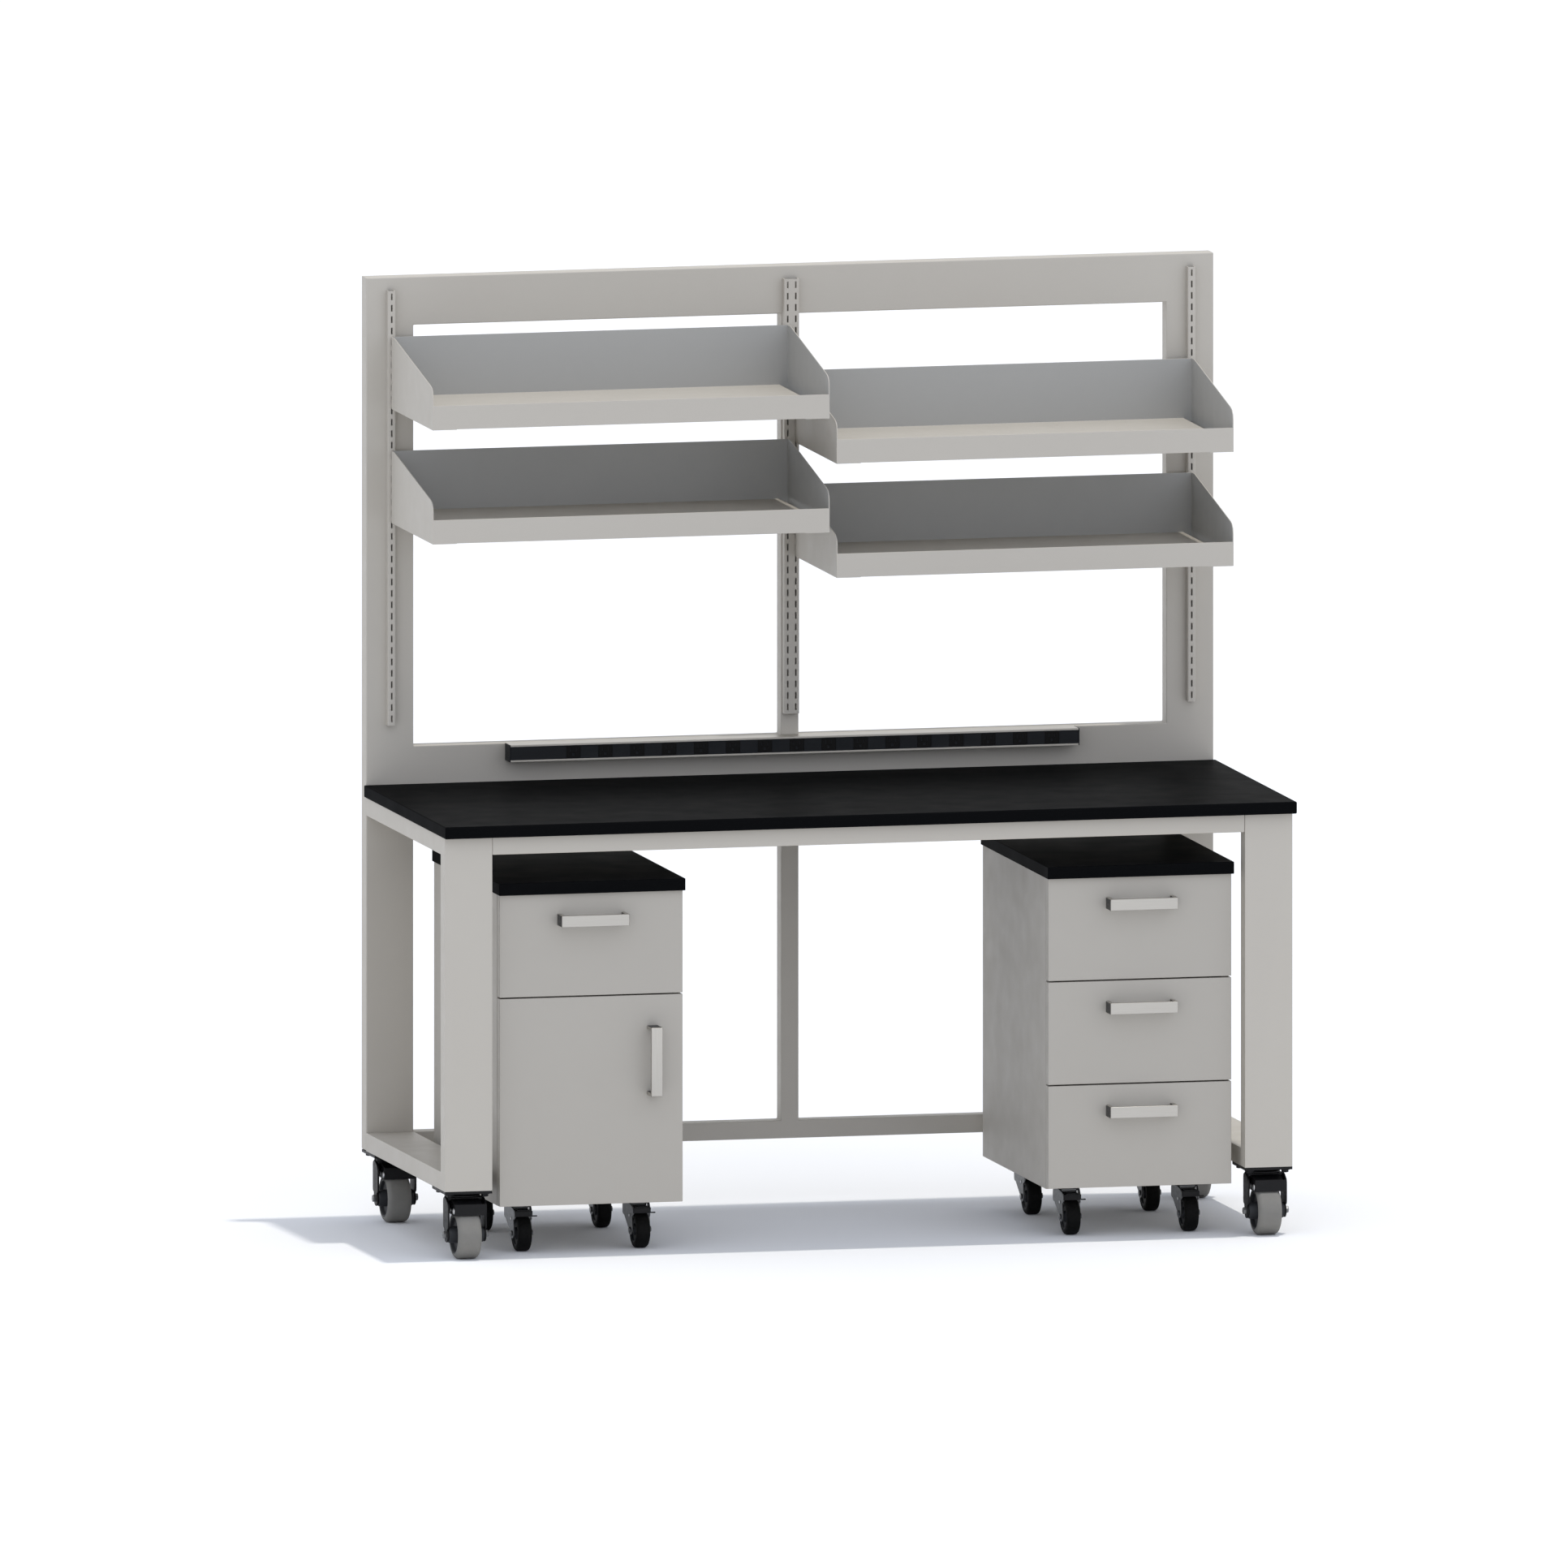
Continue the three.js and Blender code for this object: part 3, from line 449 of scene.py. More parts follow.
punch_slots = punch_tree()
for place, columns in (("left", 1), ("centre", 2), ("right", 1)):
    node = f"standard_{place}"
    low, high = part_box(node)
    first_x = (low.x + high.x - SLOT_COLUMN_SPACING * (columns - 1)) / 2
    punched = run_tree(punch_slots, channel(low, high), {
        "Slot Size": (SLOT_WIDTH, 4 * CHANNEL_WALL, SLOT_HEIGHT),
        "First Slot": (first_x, low.y, high.z - FIRST_SLOT_DROP),
        "Pitch": (0, 0, -SLOT_PITCH), "Slots": SLOT_COUNT,
        "Column Step": (SLOT_COLUMN_SPACING, 0, 0), "Columns": columns, "Finish": grey_coat,
    })
    dress(f"{node}_channel", punched, "bench", [grey_coat], [node])

# Reagent shelves: trays folded from 2 mm steel sheet, with a lip in front, a tall back and end
# plates that slope down to the lip. Hooks on the end plates hang in the standards' slots. The walls'
# inner faces carry painted shade: a cooler, darker grey than the outside coat.
SHEET_EDGE = 0.55 * MM
# Painted shade: a cooler, darker copy of the frame's grey for the inner faces of the tray walls.
TRAY_PAINTED_SHADE = "#aaa9a5"
TRAY_PAINTED_SHADE_MOTTLE = "#a7a6a2"
WALL_TILT = 0.5
painted_shade_tray_coat = powder_coat("grey_powder_coat_with_painted_shade_in_trays", TRAY_PAINTED_SHADE, TRAY_PAINTED_SHADE_MOTTLE)
for side in ("left", "right"):
    for level in ("upper", "lower"):
        node = f"shelf_{side}_{level}"
        low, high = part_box(node)
        tray = copy_of(node)
        for face in tray.faces:
            inward = (low + high) / 2 - face.calc_center_median()
            is_wall = abs(face.normal.z) < WALL_TILT
            # The inner faces of the walls take the painted shade coat.
            face.material_index = int(is_wall and face.normal.dot(inward) > 0)
        dress(f"{node}_tray", tray, "bench", [grey_coat, painted_shade_tray_coat], [node], SHEET_EDGE, 2)

# Power strip: an extruded aluminium channel screwed to the back rail, with a black moulded insert.
# Three-pin outlets sit in its recesses, and black caps close its ends.
EXTRUSION_EDGE = 0.4 * MM
BRUSH_DRAW = 60
END_CAP = 2.2 * MM
OUTLET_FIRST = 135 * MM
OUTLET_PITCH = 68.5 * MM
OUTLET_COUNT = 16
OUTLET_WIDTH = 29.6 * MM
OUTLET_HEIGHT = 24.4 * MM
OUTLET_DEPTH = 4 * MM
OUTLET_SET_BACK = 0.2 * MM
OUTLET_EDGE = 0.3 * MM
END_CAP_GAP = 0.1 * MM
END_CAP_EDGE = 0.8 * MM
BLADE_SLOT = (2.2 * MM, 7.2 * MM)
EARTH_HOLE = (5.2 * MM, 5.2 * MM)
BLADE_SPACING = 12.7 * MM
ALUMINIUM = "#b9b6b0"
ALUMINIUM_SHADE = "#b0ada7"
NYLON_BLACK = "#1a1c1f"
NYLON_GREY = "#1d1f22"
OUTLET_BLACK = "#020203"
OUTLET_SHADE = "#050506"


def satin_aluminium(name, stretch):
    """Satin anodised aluminium: brush lines along the length, drawn coarser than the real ones to show."""
    brush_line = 1.2 * MM
    material, tree, shader, place = new_finish(name, {"Metallic": 1.0})
    lines = noise(tree, place, brush_line, 3.0, stretch)
    vary_colour(tree, shader, lines, ALUMINIUM, ALUMINIUM_SHADE)
    vary_gloss(tree, shader, lines, 0.34, 0.46)
    raise_grain(tree, shader, lines, 0.1, 0.05 * MM)
    return material


def moulded_nylon(name, colour, shade):
    """Glass-filled nylon: a dark moulded plastic with a fine spark-eroded grain."""
    flow_mark = 9 * MM
    gloss_patch = 4 * MM
    spark_grain = 0.9 * MM
    material, tree, shader, place = new_finish(name, {"IOR": 1.53, "Specular IOR Level": 0.15})
    vary_colour(tree, shader, noise(tree, place, flow_mark, 4.0), colour, shade)
    vary_gloss(tree, shader, noise(tree, place, gloss_patch, 4.0), 0.46, 0.6)
    raise_grain(tree, shader, noise(tree, place, spark_grain), 0.15, 0.08 * MM)
    return material


def lattice(shape, xs, zs, open_cells, front, back):
    """Adds a plate cut along lines of X and Z, with some of its cells left open."""
    count_x, count_z = len(xs) - 1, len(zs) - 1
    full = {(i, k) for i in range(count_x) for k in range(count_z)} - set(open_cells)

    def face(*points):
        shape.faces.new([shape.verts.new(p) for p in points])

    for i, k in sorted(full):
        (x0, x1), (z0, z1) = xs[i:i + 2], zs[k:k + 2]
        face((x0, front, z0), (x1, front, z0), (x1, front, z1), (x0, front, z1))
        face((x0, back, z0), (x0, back, z1), (x1, back, z1), (x1, back, z0))
        if (i - 1, k) not in full:
            face((x0, front, z0), (x0, front, z1), (x0, back, z1), (x0, back, z0))
        if (i + 1, k) not in full:
            face((x1, front, z0), (x1, back, z0), (x1, back, z1), (x1, front, z1))
        if (i, k - 1) not in full:
            face((x0, front, z0), (x0, back, z0), (x1, back, z0), (x1, front, z0))
        if (i, k + 1) not in full:
            face((x0, front, z1), (x1, front, z1), (x1, back, z1), (x0, back, z1))
    bmesh.ops.remove_doubles(shape, verts=shape.verts, dist=0.001 * MM)
    bmesh.ops.recalc_face_normals(shape, faces=shape.faces)
    bmesh.ops.dissolve_limit(shape, angle_limit=FLAT_BELOW, verts=shape.verts, edges=shape.edges)


def outlet():
    """One outlet pad about the origin, facing -Y: two blade slots over an earth hole."""
    shape = bmesh.new()
    blade, earth = BLADE_SLOT[0] / 2, EARTH_HOLE[0] / 2
    middle = BLADE_SPACING / 2
    xs = [
        -OUTLET_WIDTH / 2, -middle - blade, -middle + blade, -earth, earth, middle - blade, middle + blade,
        OUTLET_WIDTH / 2,
    ]
    blade_top = 8.6 * MM
    earth_top = -2.6 * MM
    zs = [
        -OUTLET_HEIGHT / 2, earth_top - EARTH_HOLE[1], earth_top, blade_top - BLADE_SLOT[1], blade_top,
        OUTLET_HEIGHT / 2,
    ]
    blade_cells = [(1, 3), (5, 3)]
    earth_cell = (3, 1)
    lattice(shape, xs, zs, [*blade_cells, earth_cell], -OUTLET_DEPTH / 2, OUTLET_DEPTH / 2)
    return shape


brushed_x = satin_aluminium("satin_anodised_aluminium", (BRUSH_DRAW, 1, 1))
black_nylon = moulded_nylon("black_moulded_nylon", NYLON_BLACK, NYLON_GREY)
outlet_nylon = moulded_nylon("black_outlet_nylon", OUTLET_BLACK, OUTLET_SHADE)
low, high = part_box("power_strip_housing")
dress("power_strip_channel", copy_of("power_strip_housing"), "bench", [brushed_x],
      ["power_strip_housing"], EXTRUSION_EDGE, 2)
dress("power_strip_insert", copy_of("power_strip_outlets"), "bench", [black_nylon],
      ["power_strip_outlets"], EXTRUSION_EDGE, 2)
insert_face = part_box("power_strip_outlets")[0].y
strip_middle = (low.z + high.z) / 2
first_outlet = (low.x + OUTLET_FIRST, insert_face + OUTLET_DEPTH / 2 + OUTLET_SET_BACK, strip_middle)
outlets = rows_of(outlet(), outlet_nylon, first_outlet, (OUTLET_PITCH, 0, 0), OUTLET_COUNT)
dress("power_strip_outlet_pads", outlets, "bench", [outlet_nylon],
      corner=OUTLET_EDGE, steps=2)
caps = bmesh.new()
for x0, x1 in ((low.x - END_CAP, low.x - END_CAP_GAP), (high.x + END_CAP_GAP, high.x + END_CAP)):
    lattice(caps, [x0, x1], [low.z, high.z], [], low.y, high.y)
dress("power_strip_end_caps", caps, "bench", [black_nylon], corner=END_CAP_EDGE)

# Bench casters: a black pressed-steel fork turns on a ball race under its plate and holds a grey
# rubber wheel on a dark core. A black brake pedal hangs on riveted pins between the fork's legs.
CHEEK_EDGE = 0.7 * MM
TREAD_STEPS = 72
TREAD_GREY = "#807e79"
TREAD_GREY_SHADE = "#787671"
CORE_GREY = "#2c2d2f"
CORE_GREY_SHADE = "#37383a"
joints = {joint["name"]: joint for joint in frame["joints"]}
# Half the gap between the legs, a leg's thickness, how far the legs splay, how far their front and back
# edges lie ahead of the stem, the height of their waist over the axle, and the radius of the axle boss.
# Then the crown: its thickness, its reach before and behind the stem, and half its width at the back.
# Then the race, the axle's hex ends, the wheel from its rim to its rounded shoulder, the place and
# lower edge of the plate that closes the fork behind the pedal, and the slots of fork and tread.
BENCH_CASTER = {
    "inner": 38 * MM, "leg": 4 * MM, "splay": 0.0,
    "leg_front": 46 * MM, "leg_back": 3 * MM, "waist": 12 * MM, "boss": 16 * MM,
    "crown": 6 * MM, "crown_front": 24 * MM, "crown_back": 24 * MM, "crown_back_half": 30 * MM,
    "race": 37 * MM, "race_height": 10 * MM, "bolt_across": 14 * MM, "bolt": 6.5 * MM,
    "rim": 40 * MM, "dish": 7 * MM, "hub": 17 * MM, "bore": 6.5 * MM, "shoulder": 10 * MM,
    "tread_half": 25.4 * MM, "bridge": (-2.5 * MM, 100 * MM), "slots": ("black_steel", "grey_rubber"),
}
LEG_CORNER = 9 * MM
CROWN_CORNER = 6 * MM
BRIDGE_WALL = 2 * MM
BOSS_ARC = (18, -189)
CORE_LIP = 3.5 * MM
HUB_CHAMFER = 2 * MM
CORE_STEP = 1 * MM
PEDAL_PIN = 6.8 * MM
PEDAL_PIN_PLACES = ((-20 * MM, 101 * MM), (-49 * MM, 102 * MM))
BRIGHT_ZINC = "#d2d3d4"
BRIGHT_ZINC_SHADE = "#bcbdbf"


def rubber_tread(name, colour, shade):
    """Thermoplastic rubber: a dull moulded tread, a little dusty where it has rolled."""
    dust = 14 * MM
    gloss_patch = 5 * MM
    mould_grain = 1.4 * MM
    material, tree, shader, place = new_finish(name, {"IOR": 1.5, "Specular IOR Level": 0.12})
    vary_colour(tree, shader, noise(tree, place, dust, 5.0), colour, shade)
    vary_gloss(tree, shader, noise(tree, place, gloss_patch, 3.0), 0.62, 0.8)
    raise_grain(tree, shader, noise(tree, place, mould_grain), 0.2, 0.1 * MM)
    return material


def arc(centre, radius, start, end, steps):
    """Points of an arc in a plane, with angles in degrees."""
    angles = [math.radians(start + (end - start) * i / steps) for i in range(steps + 1)]
    return [(centre[0] + radius * math.cos(a), centre[1] + radius * math.sin(a)) for a in angles]


def wheel_sizes(name):
    """Centre, radius and half width of a caster's wheel, from its axle and its node."""
    low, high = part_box(f"{name}_wheel")
    centre = Vector(joints[f"{name}_roll"]["pos_m"])
    return centre, (high.z - low.z) / 2, (high.x - low.x) / 2


def rounded(points, radius, steps=4):
    """An outline with each corner drawn round."""
    outline = []
    for i, corner in enumerate(points):
        corner = Vector(corner)
        before = Vector(points[i - 1]) - corner
        after = Vector(points[(i + 1) % len(points)]) - corner
        start = corner + before.normalized() * min(radius, before.length / 2)
        end = corner + after.normalized() * min(radius, after.length / 2)
        for k in range(steps + 1):
            s = k / steps
            outline.append(start * (1 - s) ** 2 + corner * 2 * s * (1 - s) + end * s ** 2)
    return outline


def fork_shape(name, sizes):
    """Two legs and a closing plate under a crown, with the two pressed cups of the swivel race on top."""
    stem = Vector(joints[f"{name}_swivel"]["pos_m"])
    axle = Vector(joints[f"{name}_roll"]["pos_m"])
    race_height = sizes["race_height"]
    crown_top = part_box(f"{name}_fork")[1].z - race_height
    crown_bottom = crown_top - sizes["crown"]
    trail = stem.y - axle.y
    back = trail - sizes["leg_back"]
    front = trail - sizes["leg_front"]
    waist = axle.z + sizes["waist"]
    upper = rounded([
        (front, waist), (front, crown_bottom - sizes["crown"]), (trail - sizes["crown_front"], crown_top),
        (back, crown_top), (back, waist),
    ], LEG_CORNER)
    boss = [Vector(p) for p in arc((0, axle.z), sizes["boss"], *BOSS_ARC, 16)]
    outline = [(0, p.x, p.y) for p in upper + boss]
    shape = bmesh.new()
    half_leg = sizes["leg"] / 2
    half = sizes["inner"] + half_leg
    for side in (-1, 1):
        splayed = Matrix.Rotation(-side * sizes["splay"], 4, "Z")
        place = Matrix.Translation((stem.x + side * half, axle.y, 0)) @ splayed
        prism(shape, outline, (-half_leg, 0, 0), (half_leg, 0, 0), place)
    rear_half = sizes["crown_back_half"]
    shoulder = -max(sizes["leg_back"], 0)
    plan = rounded([
        (-half, -sizes["crown_front"]), (half, -sizes["crown_front"]), (half, shoulder),
        (rear_half, sizes["crown_back"]), (-rear_half, sizes["crown_back"]), (-half, shoulder),
    ], CROWN_CORNER)
    prism(shape, [(p.x, p.y, 0) for p in plan], (stem.x, stem.y, crown_bottom), (stem.x, stem.y, crown_top))
    bridge_y = stem.y + sizes["bridge"][0]
    bridge_low = sizes["bridge"][1]
    bridge = [
        (-half, 0, bridge_low), (half, 0, bridge_low), (half, 0, crown_bottom), (-half, 0, crown_bottom),
    ]
    prism(shape, bridge, (stem.x, bridge_y, 0), (stem.x, bridge_y + BRIDGE_WALL, 0))
    lower_cup = [(0, 0), (0.93, 0), (1, 0.12), (1, 0.42), (0.9, 0.5), (0, 0.5)]
    upper_cup = [(0, 0.5), (0.86, 0.54), (0.98, 0.66), (0.98, 0.9), (0.9, 1), (0, 1)]
    for cup in (lower_cup, upper_cup):
        profile = [(r * sizes["race"], h * race_height) for r, h in cup]
        turned(shape, profile, (stem.x, stem.y, crown_top), (0, 0, 1))
    return shape


def rivets(places, radius, axis):
    """Domed rivet heads that stand out along an axis from each place."""
    shape = bmesh.new()
    dome = [(0, 0), (1, 0), (0.92, 0.2), (0.6, 0.34), (0, 0.4)]
    for place in places:
        turned(shape, [(r * radius, h * radius) for r, h in dome], place, axis, 24)
    return shape


def axle_bolts(name, sizes):
    """The axle's hex head on one side of the fork and its nut on the other."""
    centre = Vector(joints[f"{name}_roll"]["pos_m"])
    outer = sizes["inner"] + sizes["leg"]
    point = sizes["bolt_across"] / math.sqrt(3)
    length = sizes["bolt"]
    head = [(0, 0), (point, 0), (point, length * 0.75), (point * 0.86, length), (0, length)]
    shape = bmesh.new()
    for side in (-1, 1):
        turned(shape, head, centre + Vector((side * outer, 0, 0)), (side, 0, 0), 6)
    return shape


def tread_profile(radius, half, shoulder, rim):
    """Half tread from its rim round the shoulder to the rolling face, mirrored to the other side."""
    corner = arc((radius - shoulder, half - shoulder), shoulder, 90, 0, 6)
    side = [(rim, half), *corner]
    return side + [(r, -x) for r, x in reversed(side)]


def core_profile(half, hub_half, sizes):
    """The moulded core inside the tread: a dished web between its rim and a long hub."""
    web = half - sizes["dish"]
    rim = sizes["rim"]
    lip = rim - CORE_LIP
    hub = sizes["hub"]
    face = half - CORE_STEP
    side = [
        (sizes["bore"], hub_half), (hub - HUB_CHAMFER, hub_half), (hub, hub_half - HUB_CHAMFER),
        (hub + CORE_STEP, web), (lip - HUB_CHAMFER, web), (lip, face), (rim, face),
    ]
    return side + [(r, -x) for r, x in reversed(side)]


def dress_caster(name, sizes, fork_finish, tread_finish, core_finish):
    """Dresses one caster's fork, axle ends, wheel and, where it has one, its brake pedal."""
    centre, radius, hub_half = wheel_sizes(name)
    half = sizes["tread_half"]
    dress(f"{name}_fork_plates", fork_shape(name, sizes), name, [fork_finish],
          [f"{name}_fork"], CHEEK_EDGE, 2)
    dress(f"{name}_axle_ends", axle_bolts(name, sizes), name, [zinc_steel])
    tread = bmesh.new()
    profile = tread_profile(radius, half, sizes["shoulder"], sizes["rim"])
    turned(tread, profile, centre, (1, 0, 0), TREAD_STEPS)
    dress(f"{name}_tread", tread, f"{name}_wheel", [tread_finish], [f"{name}_wheel"])
    core = bmesh.new()
    turned(core, core_profile(half, hub_half, sizes), centre, (1, 0, 0), TREAD_STEPS)
    dress(f"{name}_core", core, f"{name}_wheel", [core_finish])
    if f"{name}_pedal" in frame["nodes"]:
        pedal = f"{name}_pedal"
        dress(f"{pedal}_plate", copy_of(pedal), pedal, [black_steel], [pedal], CHEEK_EDGE, 2)


grey_tread = rubber_tread("grey_thermoplastic_rubber", TREAD_GREY, TREAD_GREY_SHADE)
bright_zinc = clouded_metal("bright_zinc_rivets", BRIGHT_ZINC, BRIGHT_ZINC_SHADE)
dark_core = moulded_nylon("dark_grey_moulded_nylon", CORE_GREY, CORE_GREY_SHADE)
for end in ("front", "rear"):
    for side in ("left", "right"):
        name = f"bench_caster_{end}_{side}"
        dress_caster(name, BENCH_CASTER, black_steel, grey_tread, dark_core)
        stem = Vector(joints[f"{name}_swivel"]["pos_m"])
        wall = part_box(f"{name}_pedal")[0].x
        pins = rivets([(wall, stem.y + y, z) for y, z in PEDAL_PIN_PLACES], PEDAL_PIN, (-1, 0, 0))
        dress(f"{name}_pedal_pins", pins, f"{name}_pedal", [bright_zinc])

# Pedestal carcasses: open-fronted steel boxes of folded sheet, powder coated inside and out.
# Drawer rails are riveted to the walls, and caster plates and hinge arms are zinc plated.
CARCASS_EDGE = 1.2 * MM
WALL = 16 * MM
PEDESTAL_PLATE = 4 * MM
RAIL_CLEAR = 1 * MM
RAIL_REACH = 0.9
# The pedestals' coat is a little darker than the frame's coat.
PEDESTAL_COAT = "#ada89f"
PEDESTAL_COAT_SHADE = "#aaa59c"
pedestal_coat = powder_coat("grey_powder_coat_on_pedestals", PEDESTAL_COAT, PEDESTAL_COAT_SHADE)
for side in ("left", "right"):
    node = f"{side}_pedestal_carcass"
    low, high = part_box(node)
    box_bottom = low.z + PEDESTAL_PLATE
    middle = (low.x + high.x) / 2
    inside = (high.x - low.x) / 2 - WALL
    shape = copy_of(node)
    for face in shape.faces:
        at = face.calc_center_median()
        on_rail = RAIL_REACH * inside < abs(at.x - middle) < inside - RAIL_CLEAR
        below = at.z < box_bottom - HAIR
        face.material_index = int(on_rail or below)
    dress(f"{node}_shell", shape, f"{side}_pedestal", [pedestal_coat, zinc_steel],
          [node], CARCASS_EDGE)

# Pedestal tops: one inch slabs of the worktop's black board, overhanging the fronts a little.
# They are screwed from inside the carcass.
for side in ("left", "right"):
    node = f"{side}_pedestal_top"
    dress(f"{node}_slab", copy_of(node), f"{side}_pedestal", [black_resin],
          [node], WORKTOP_EDGE)

# Drawers: folded steel boxes behind a thick double-skinned front, on zinc plated runner members.
# The fronts have the carcass's coat.
FRONT_EDGE = 1.0 * MM
FRONT_THICKNESS = 20 * MM
RUNNER_BAND = 28.5 * MM
drawers = ["left_drawer_1", "right_drawer_1", "right_drawer_2", "right_drawer_3"]
for node in drawers:
    low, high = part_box(node)
    middle = (low.x + high.x) / 2
    shape = copy_of(node)
    for face in shape.faces:
        at = face.calc_center_median()
        behind = at.y > low.y + FRONT_THICKNESS + RAIL_CLEAR
        on_runner = abs(at.x - middle) > (high.x - low.x) / 2 - RUNNER_BAND
        face.material_index = int(behind and on_runner)
    dress(f"{node}_box", shape, node, [pedestal_coat, zinc_steel], [node], FRONT_EDGE)

# Door: a double-skinned steel front of the drawers' thickness, hung on two concealed hinges.
# Their zinc plated cups sit in its back near the left edge.
HINGE_CUP = 17.5 * MM
HINGE_CUP_INSET = 24 * MM
HINGE_HEIGHT_INSET = 70 * MM
CUP_RISE = 0.2 * MM
CUP_BEVEL = (1 * MM, 0.05 * MM)
dress("left_door_panel", copy_of("left_door"), "left_door", [pedestal_coat],
      ["left_door"], FRONT_EDGE)
low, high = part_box("left_door")
cups = bmesh.new()
for z in (low.z + HINGE_HEIGHT_INSET, high.z - HINGE_HEIGHT_INSET):
    ring = [
        (0, 0), (HINGE_CUP, 0), (HINGE_CUP, CUP_RISE - CUP_BEVEL[1]), (HINGE_CUP - CUP_BEVEL[0], CUP_RISE),
        (0, CUP_RISE),
    ]
    turned(cups, ring, (low.x + HINGE_CUP_INSET, high.y, z), (0, 1, 0), 32)
dress("left_door_hinge_cups", cups, "left_door", [zinc_steel])

# Bar handles: flat aluminium bar bent into a square U and screwed on from inside.
# The brush lines run along the bar, and the posts at its ends are painted dark grey as shade.
HANDLE_EDGE = 1.1 * MM
ACROSS_BAR = 0.9
POST_PAINTED_SHADE = "#4c4d4f"
POST_PAINTED_SHADE_MOTTLE = "#454648"
brushed_z = satin_aluminium("satin_anodised_aluminium_upright", (1, 1, BRUSH_DRAW))
# Painted shade: a dark grey for the faces across each handle's bar.
painted_shade_posts = clouded_metal("aluminium_posts_with_painted_shade", POST_PAINTED_SHADE, POST_PAINTED_SHADE_MOTTLE)


def dress_handle(node, body, brushed, along):
    """Dresses a handle whose bar runs along an axis: satin on the bar, painted shade in dark grey on the
    faces across it.
    """
    shape = copy_of(f"{node}_handle")
    for face in shape.faces:
        # Faces across the bar take the dark grey of painted shade.
        face.material_index = int(abs(face.normal[along]) > ACROSS_BAR)
    dress(f"{node}_handle_bar", shape, body, [brushed, painted_shade_posts],
          [f"{node}_handle"], HANDLE_EDGE)


for node in drawers:
    dress_handle(node, node, brushed_x, 0)
dress_handle("left_door", "left_door", brushed_z, 2)

# Pedestal casters: small swivel casters with zinc plated forks and black rubber wheels.
# Only the front pair of each pedestal has brake pedals.
TREAD_BLACK = "#050505"
TREAD_BLACK_SHADE = "#080808"
PEDESTAL_CASTER = {
    "inner": 18.2 * MM, "leg": 3 * MM, "splay": math.radians(9),
    "leg_front": 42 * MM, "leg_back": -16 * MM, "waist": 28 * MM, "boss": 11 * MM,
    "crown": 4 * MM, "crown_front": 18 * MM, "crown_back": 16 * MM, "crown_back_half": 25 * MM,
    "race": 23 * MM, "race_height": 7 * MM, "bolt_across": 11 * MM, "bolt": 2.5 * MM,
    "rim": 28 * MM, "dish": 4 * MM, "hub": 12 * MM, "bore": 4.5 * MM, "shoulder": 7 * MM,
    "tread_half": 15 * MM, "bridge": (-4 * MM, 74 * MM), "slots": ("zinc_steel", "black_rubber"),
}
SPACER_RIVET = 3.6 * MM
SPACER_FORWARD = 22 * MM
SPACER_HEIGHT = 68 * MM
black_tread = rubber_tread("black_thermoplastic_rubber", TREAD_BLACK, TREAD_BLACK_SHADE)
for side in ("left", "right"):
    for end in ("front", "rear"):
        for hand in ("left", "right"):
            name = f"{side}_pedestal_caster_{end}_{hand}"
            dress_caster(name, PEDESTAL_CASTER, zinc_steel, black_tread, black_nylon)
            stem = Vector(joints[f"{name}_swivel"]["pos_m"])
            lean = math.sin(PEDESTAL_CASTER["splay"])
            outer = PEDESTAL_CASTER["inner"] + PEDESTAL_CASTER["leg"]
            reach = outer + (stem.y - SPACER_FORWARD - joints[f"{name}_roll"]["pos_m"][1]) * lean
            for hand_sign, label in ((-1, "left"), (1, "right")):
                place = (stem.x + hand_sign * reach, stem.y - SPACER_FORWARD, SPACER_HEIGHT)
                rivet = rivets([place], SPACER_RIVET, (hand_sign, 0, 0))
                dress(f"{name}_spacer_rivet_{label}", rivet, name, [bright_zinc])

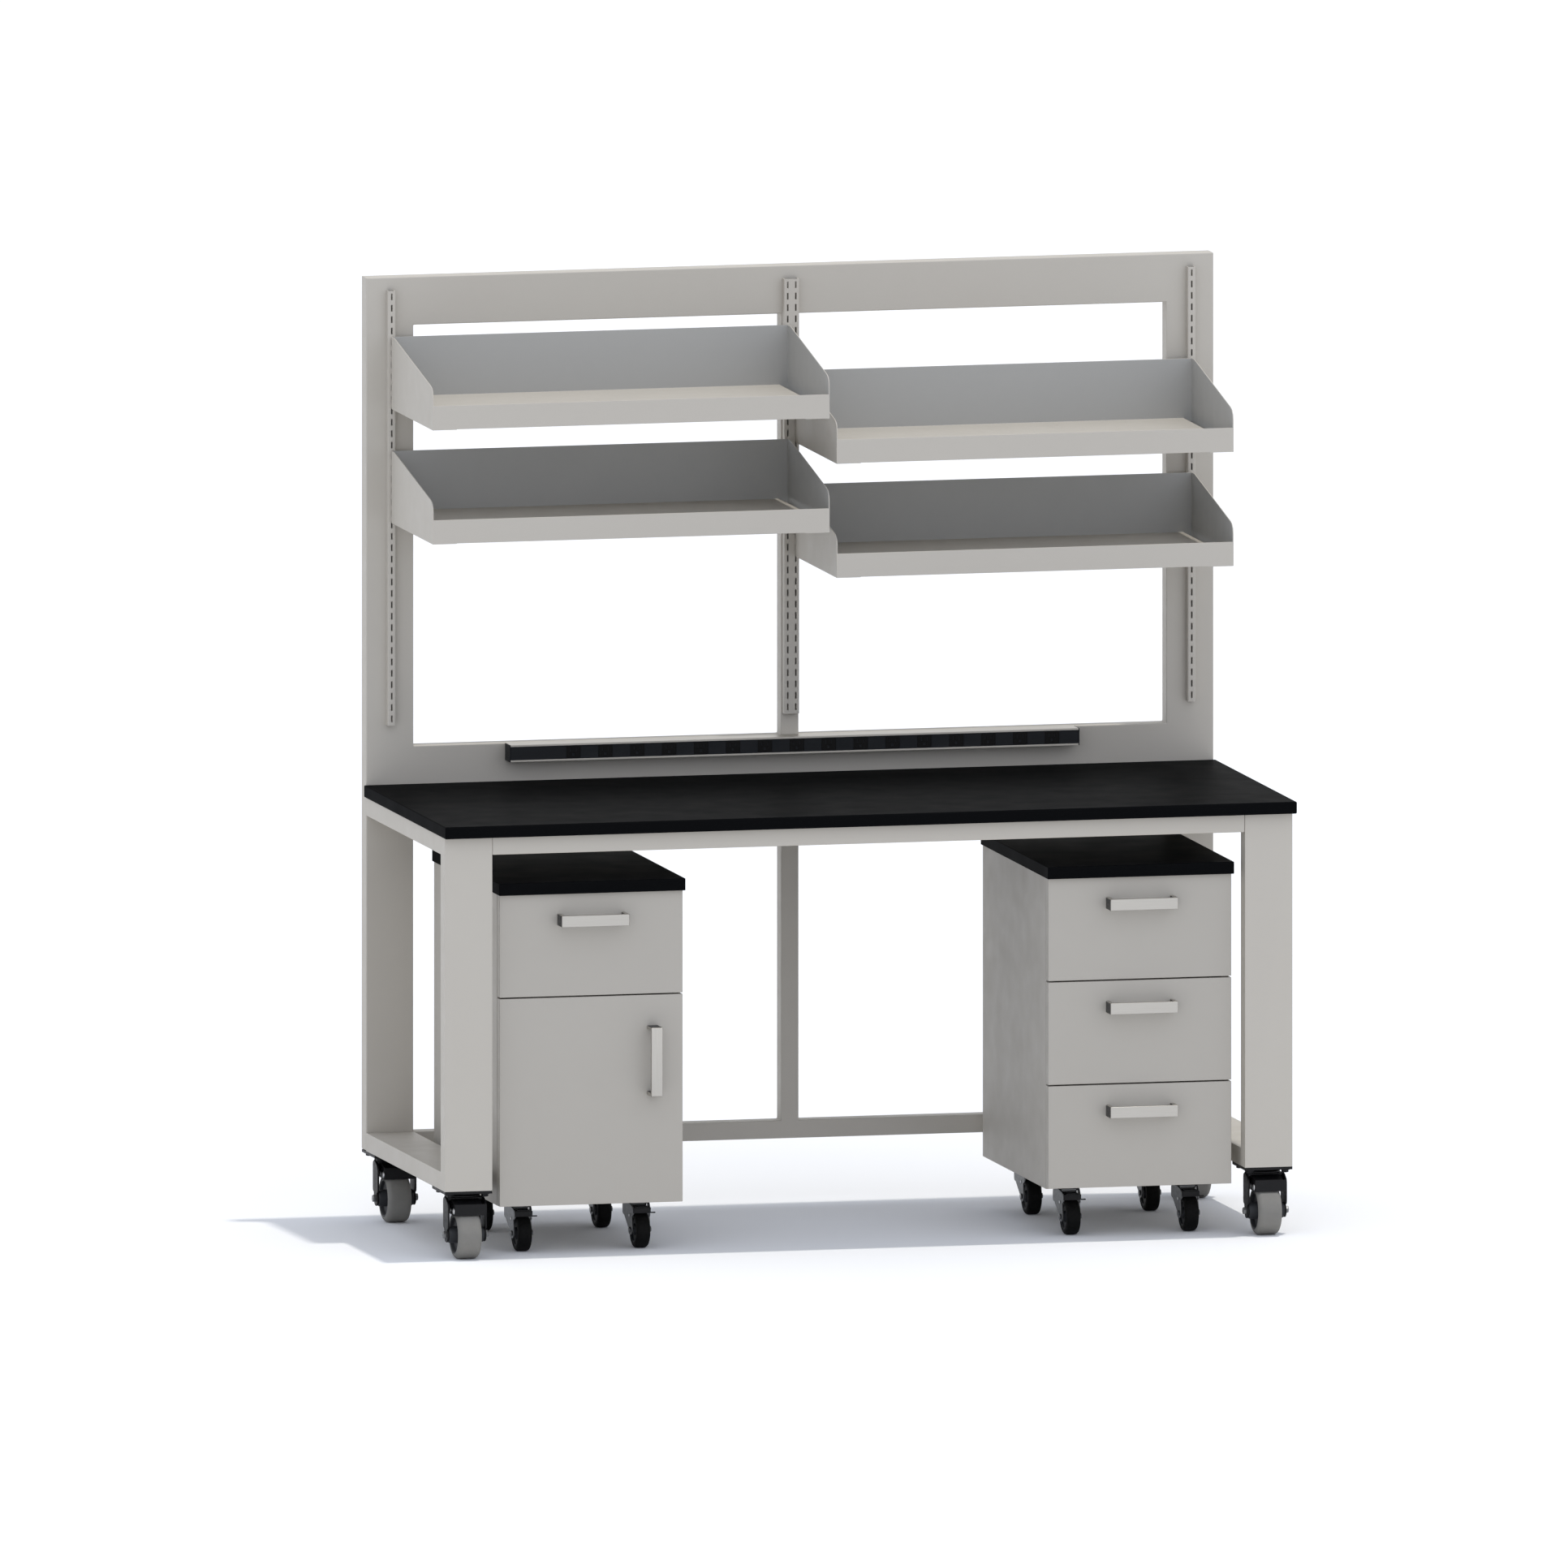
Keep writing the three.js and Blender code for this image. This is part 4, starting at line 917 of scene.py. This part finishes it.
# Stage: a plain pale floor under an even blue-white sky, with a high lamp for the floor shadow and
# a broad one in front. The camera, metal and gloss see a white backdrop in place of the sky.
FLOOR_WHITE = "#f2f2f2"
SKY = "#e9effb"
SKY_STRENGTH = 0.86
LAMPS = (
    ("high_lamp", "#fffcf6", 1.42, 1.2, (-0.14, 0.015, -1)),
    ("front_lamp", "#e8edfb", 0.62, 80, (0, 1, -0.55)),
)
FLOOR_REACH = 40.0

floor_values = {"Base Color": linear(FLOOR_WHITE), "Roughness": 0.9, "Specular IOR Level": 0.0}
floor_finish = new_finish("pale_floor_paint", floor_values)[0]
floor_mesh = bpy.data.meshes.new("floor")
corners = [(-FLOOR_REACH, -FLOOR_REACH, 0), (FLOOR_REACH, -FLOOR_REACH, 0),
           (FLOOR_REACH, FLOOR_REACH, 0), (-FLOOR_REACH, FLOOR_REACH, 0)]
floor_mesh.from_pydata(corners, [], [(0, 1, 2, 3)])
floor_mesh.materials.append(floor_finish)
floor = bpy.data.objects.new("floor", floor_mesh)
bpy.context.scene.collection.objects.link(floor)

for name, colour, strength, spread, travel in LAMPS:
    lamp = bpy.data.lights.new(name, "SUN")
    lamp.energy = strength
    lamp.color = linear(colour)[:3]
    lamp.angle = math.radians(spread)
    lamp_object = bpy.data.objects.new(name, lamp)
    lamp_object.rotation_mode = "QUATERNION"
    lamp_object.rotation_quaternion = Vector(travel).to_track_quat("-Z", "Y")
    bpy.context.scene.collection.objects.link(lamp_object)

world = bpy.data.worlds.new("sky")
world.use_nodes = True
bpy.context.scene.world = world
tree = world.node_tree
tree.nodes.clear()
sky = add_node(tree, "ShaderNodeBackground", {"Color": linear(SKY), "Strength": SKY_STRENGTH}, {})
backdrop = add_node(tree, "ShaderNodeBackground", {"Color": (1, 1, 1, 1), "Strength": 1.0}, {})
rays = add_node(tree, "ShaderNodeLightPath", {}, {}).outputs
seen = rays["Is Camera Ray"]
for ray in ("Is Glossy Ray", "Is Transmission Ray"):
    seen = add_node(tree, "ShaderNodeMath", {"operation": "MAXIMUM"}, {0: seen, 1: rays[ray]}).outputs[0]
mixed = add_node(tree, "ShaderNodeMixShader", {}, {0: seen, 1: sky.outputs[0], 2: backdrop.outputs[0]})
add_node(tree, "ShaderNodeOutputWorld", {}, {"Surface": mixed.outputs[0]})
bpy.context.scene.view_settings.view_transform = "Standard"
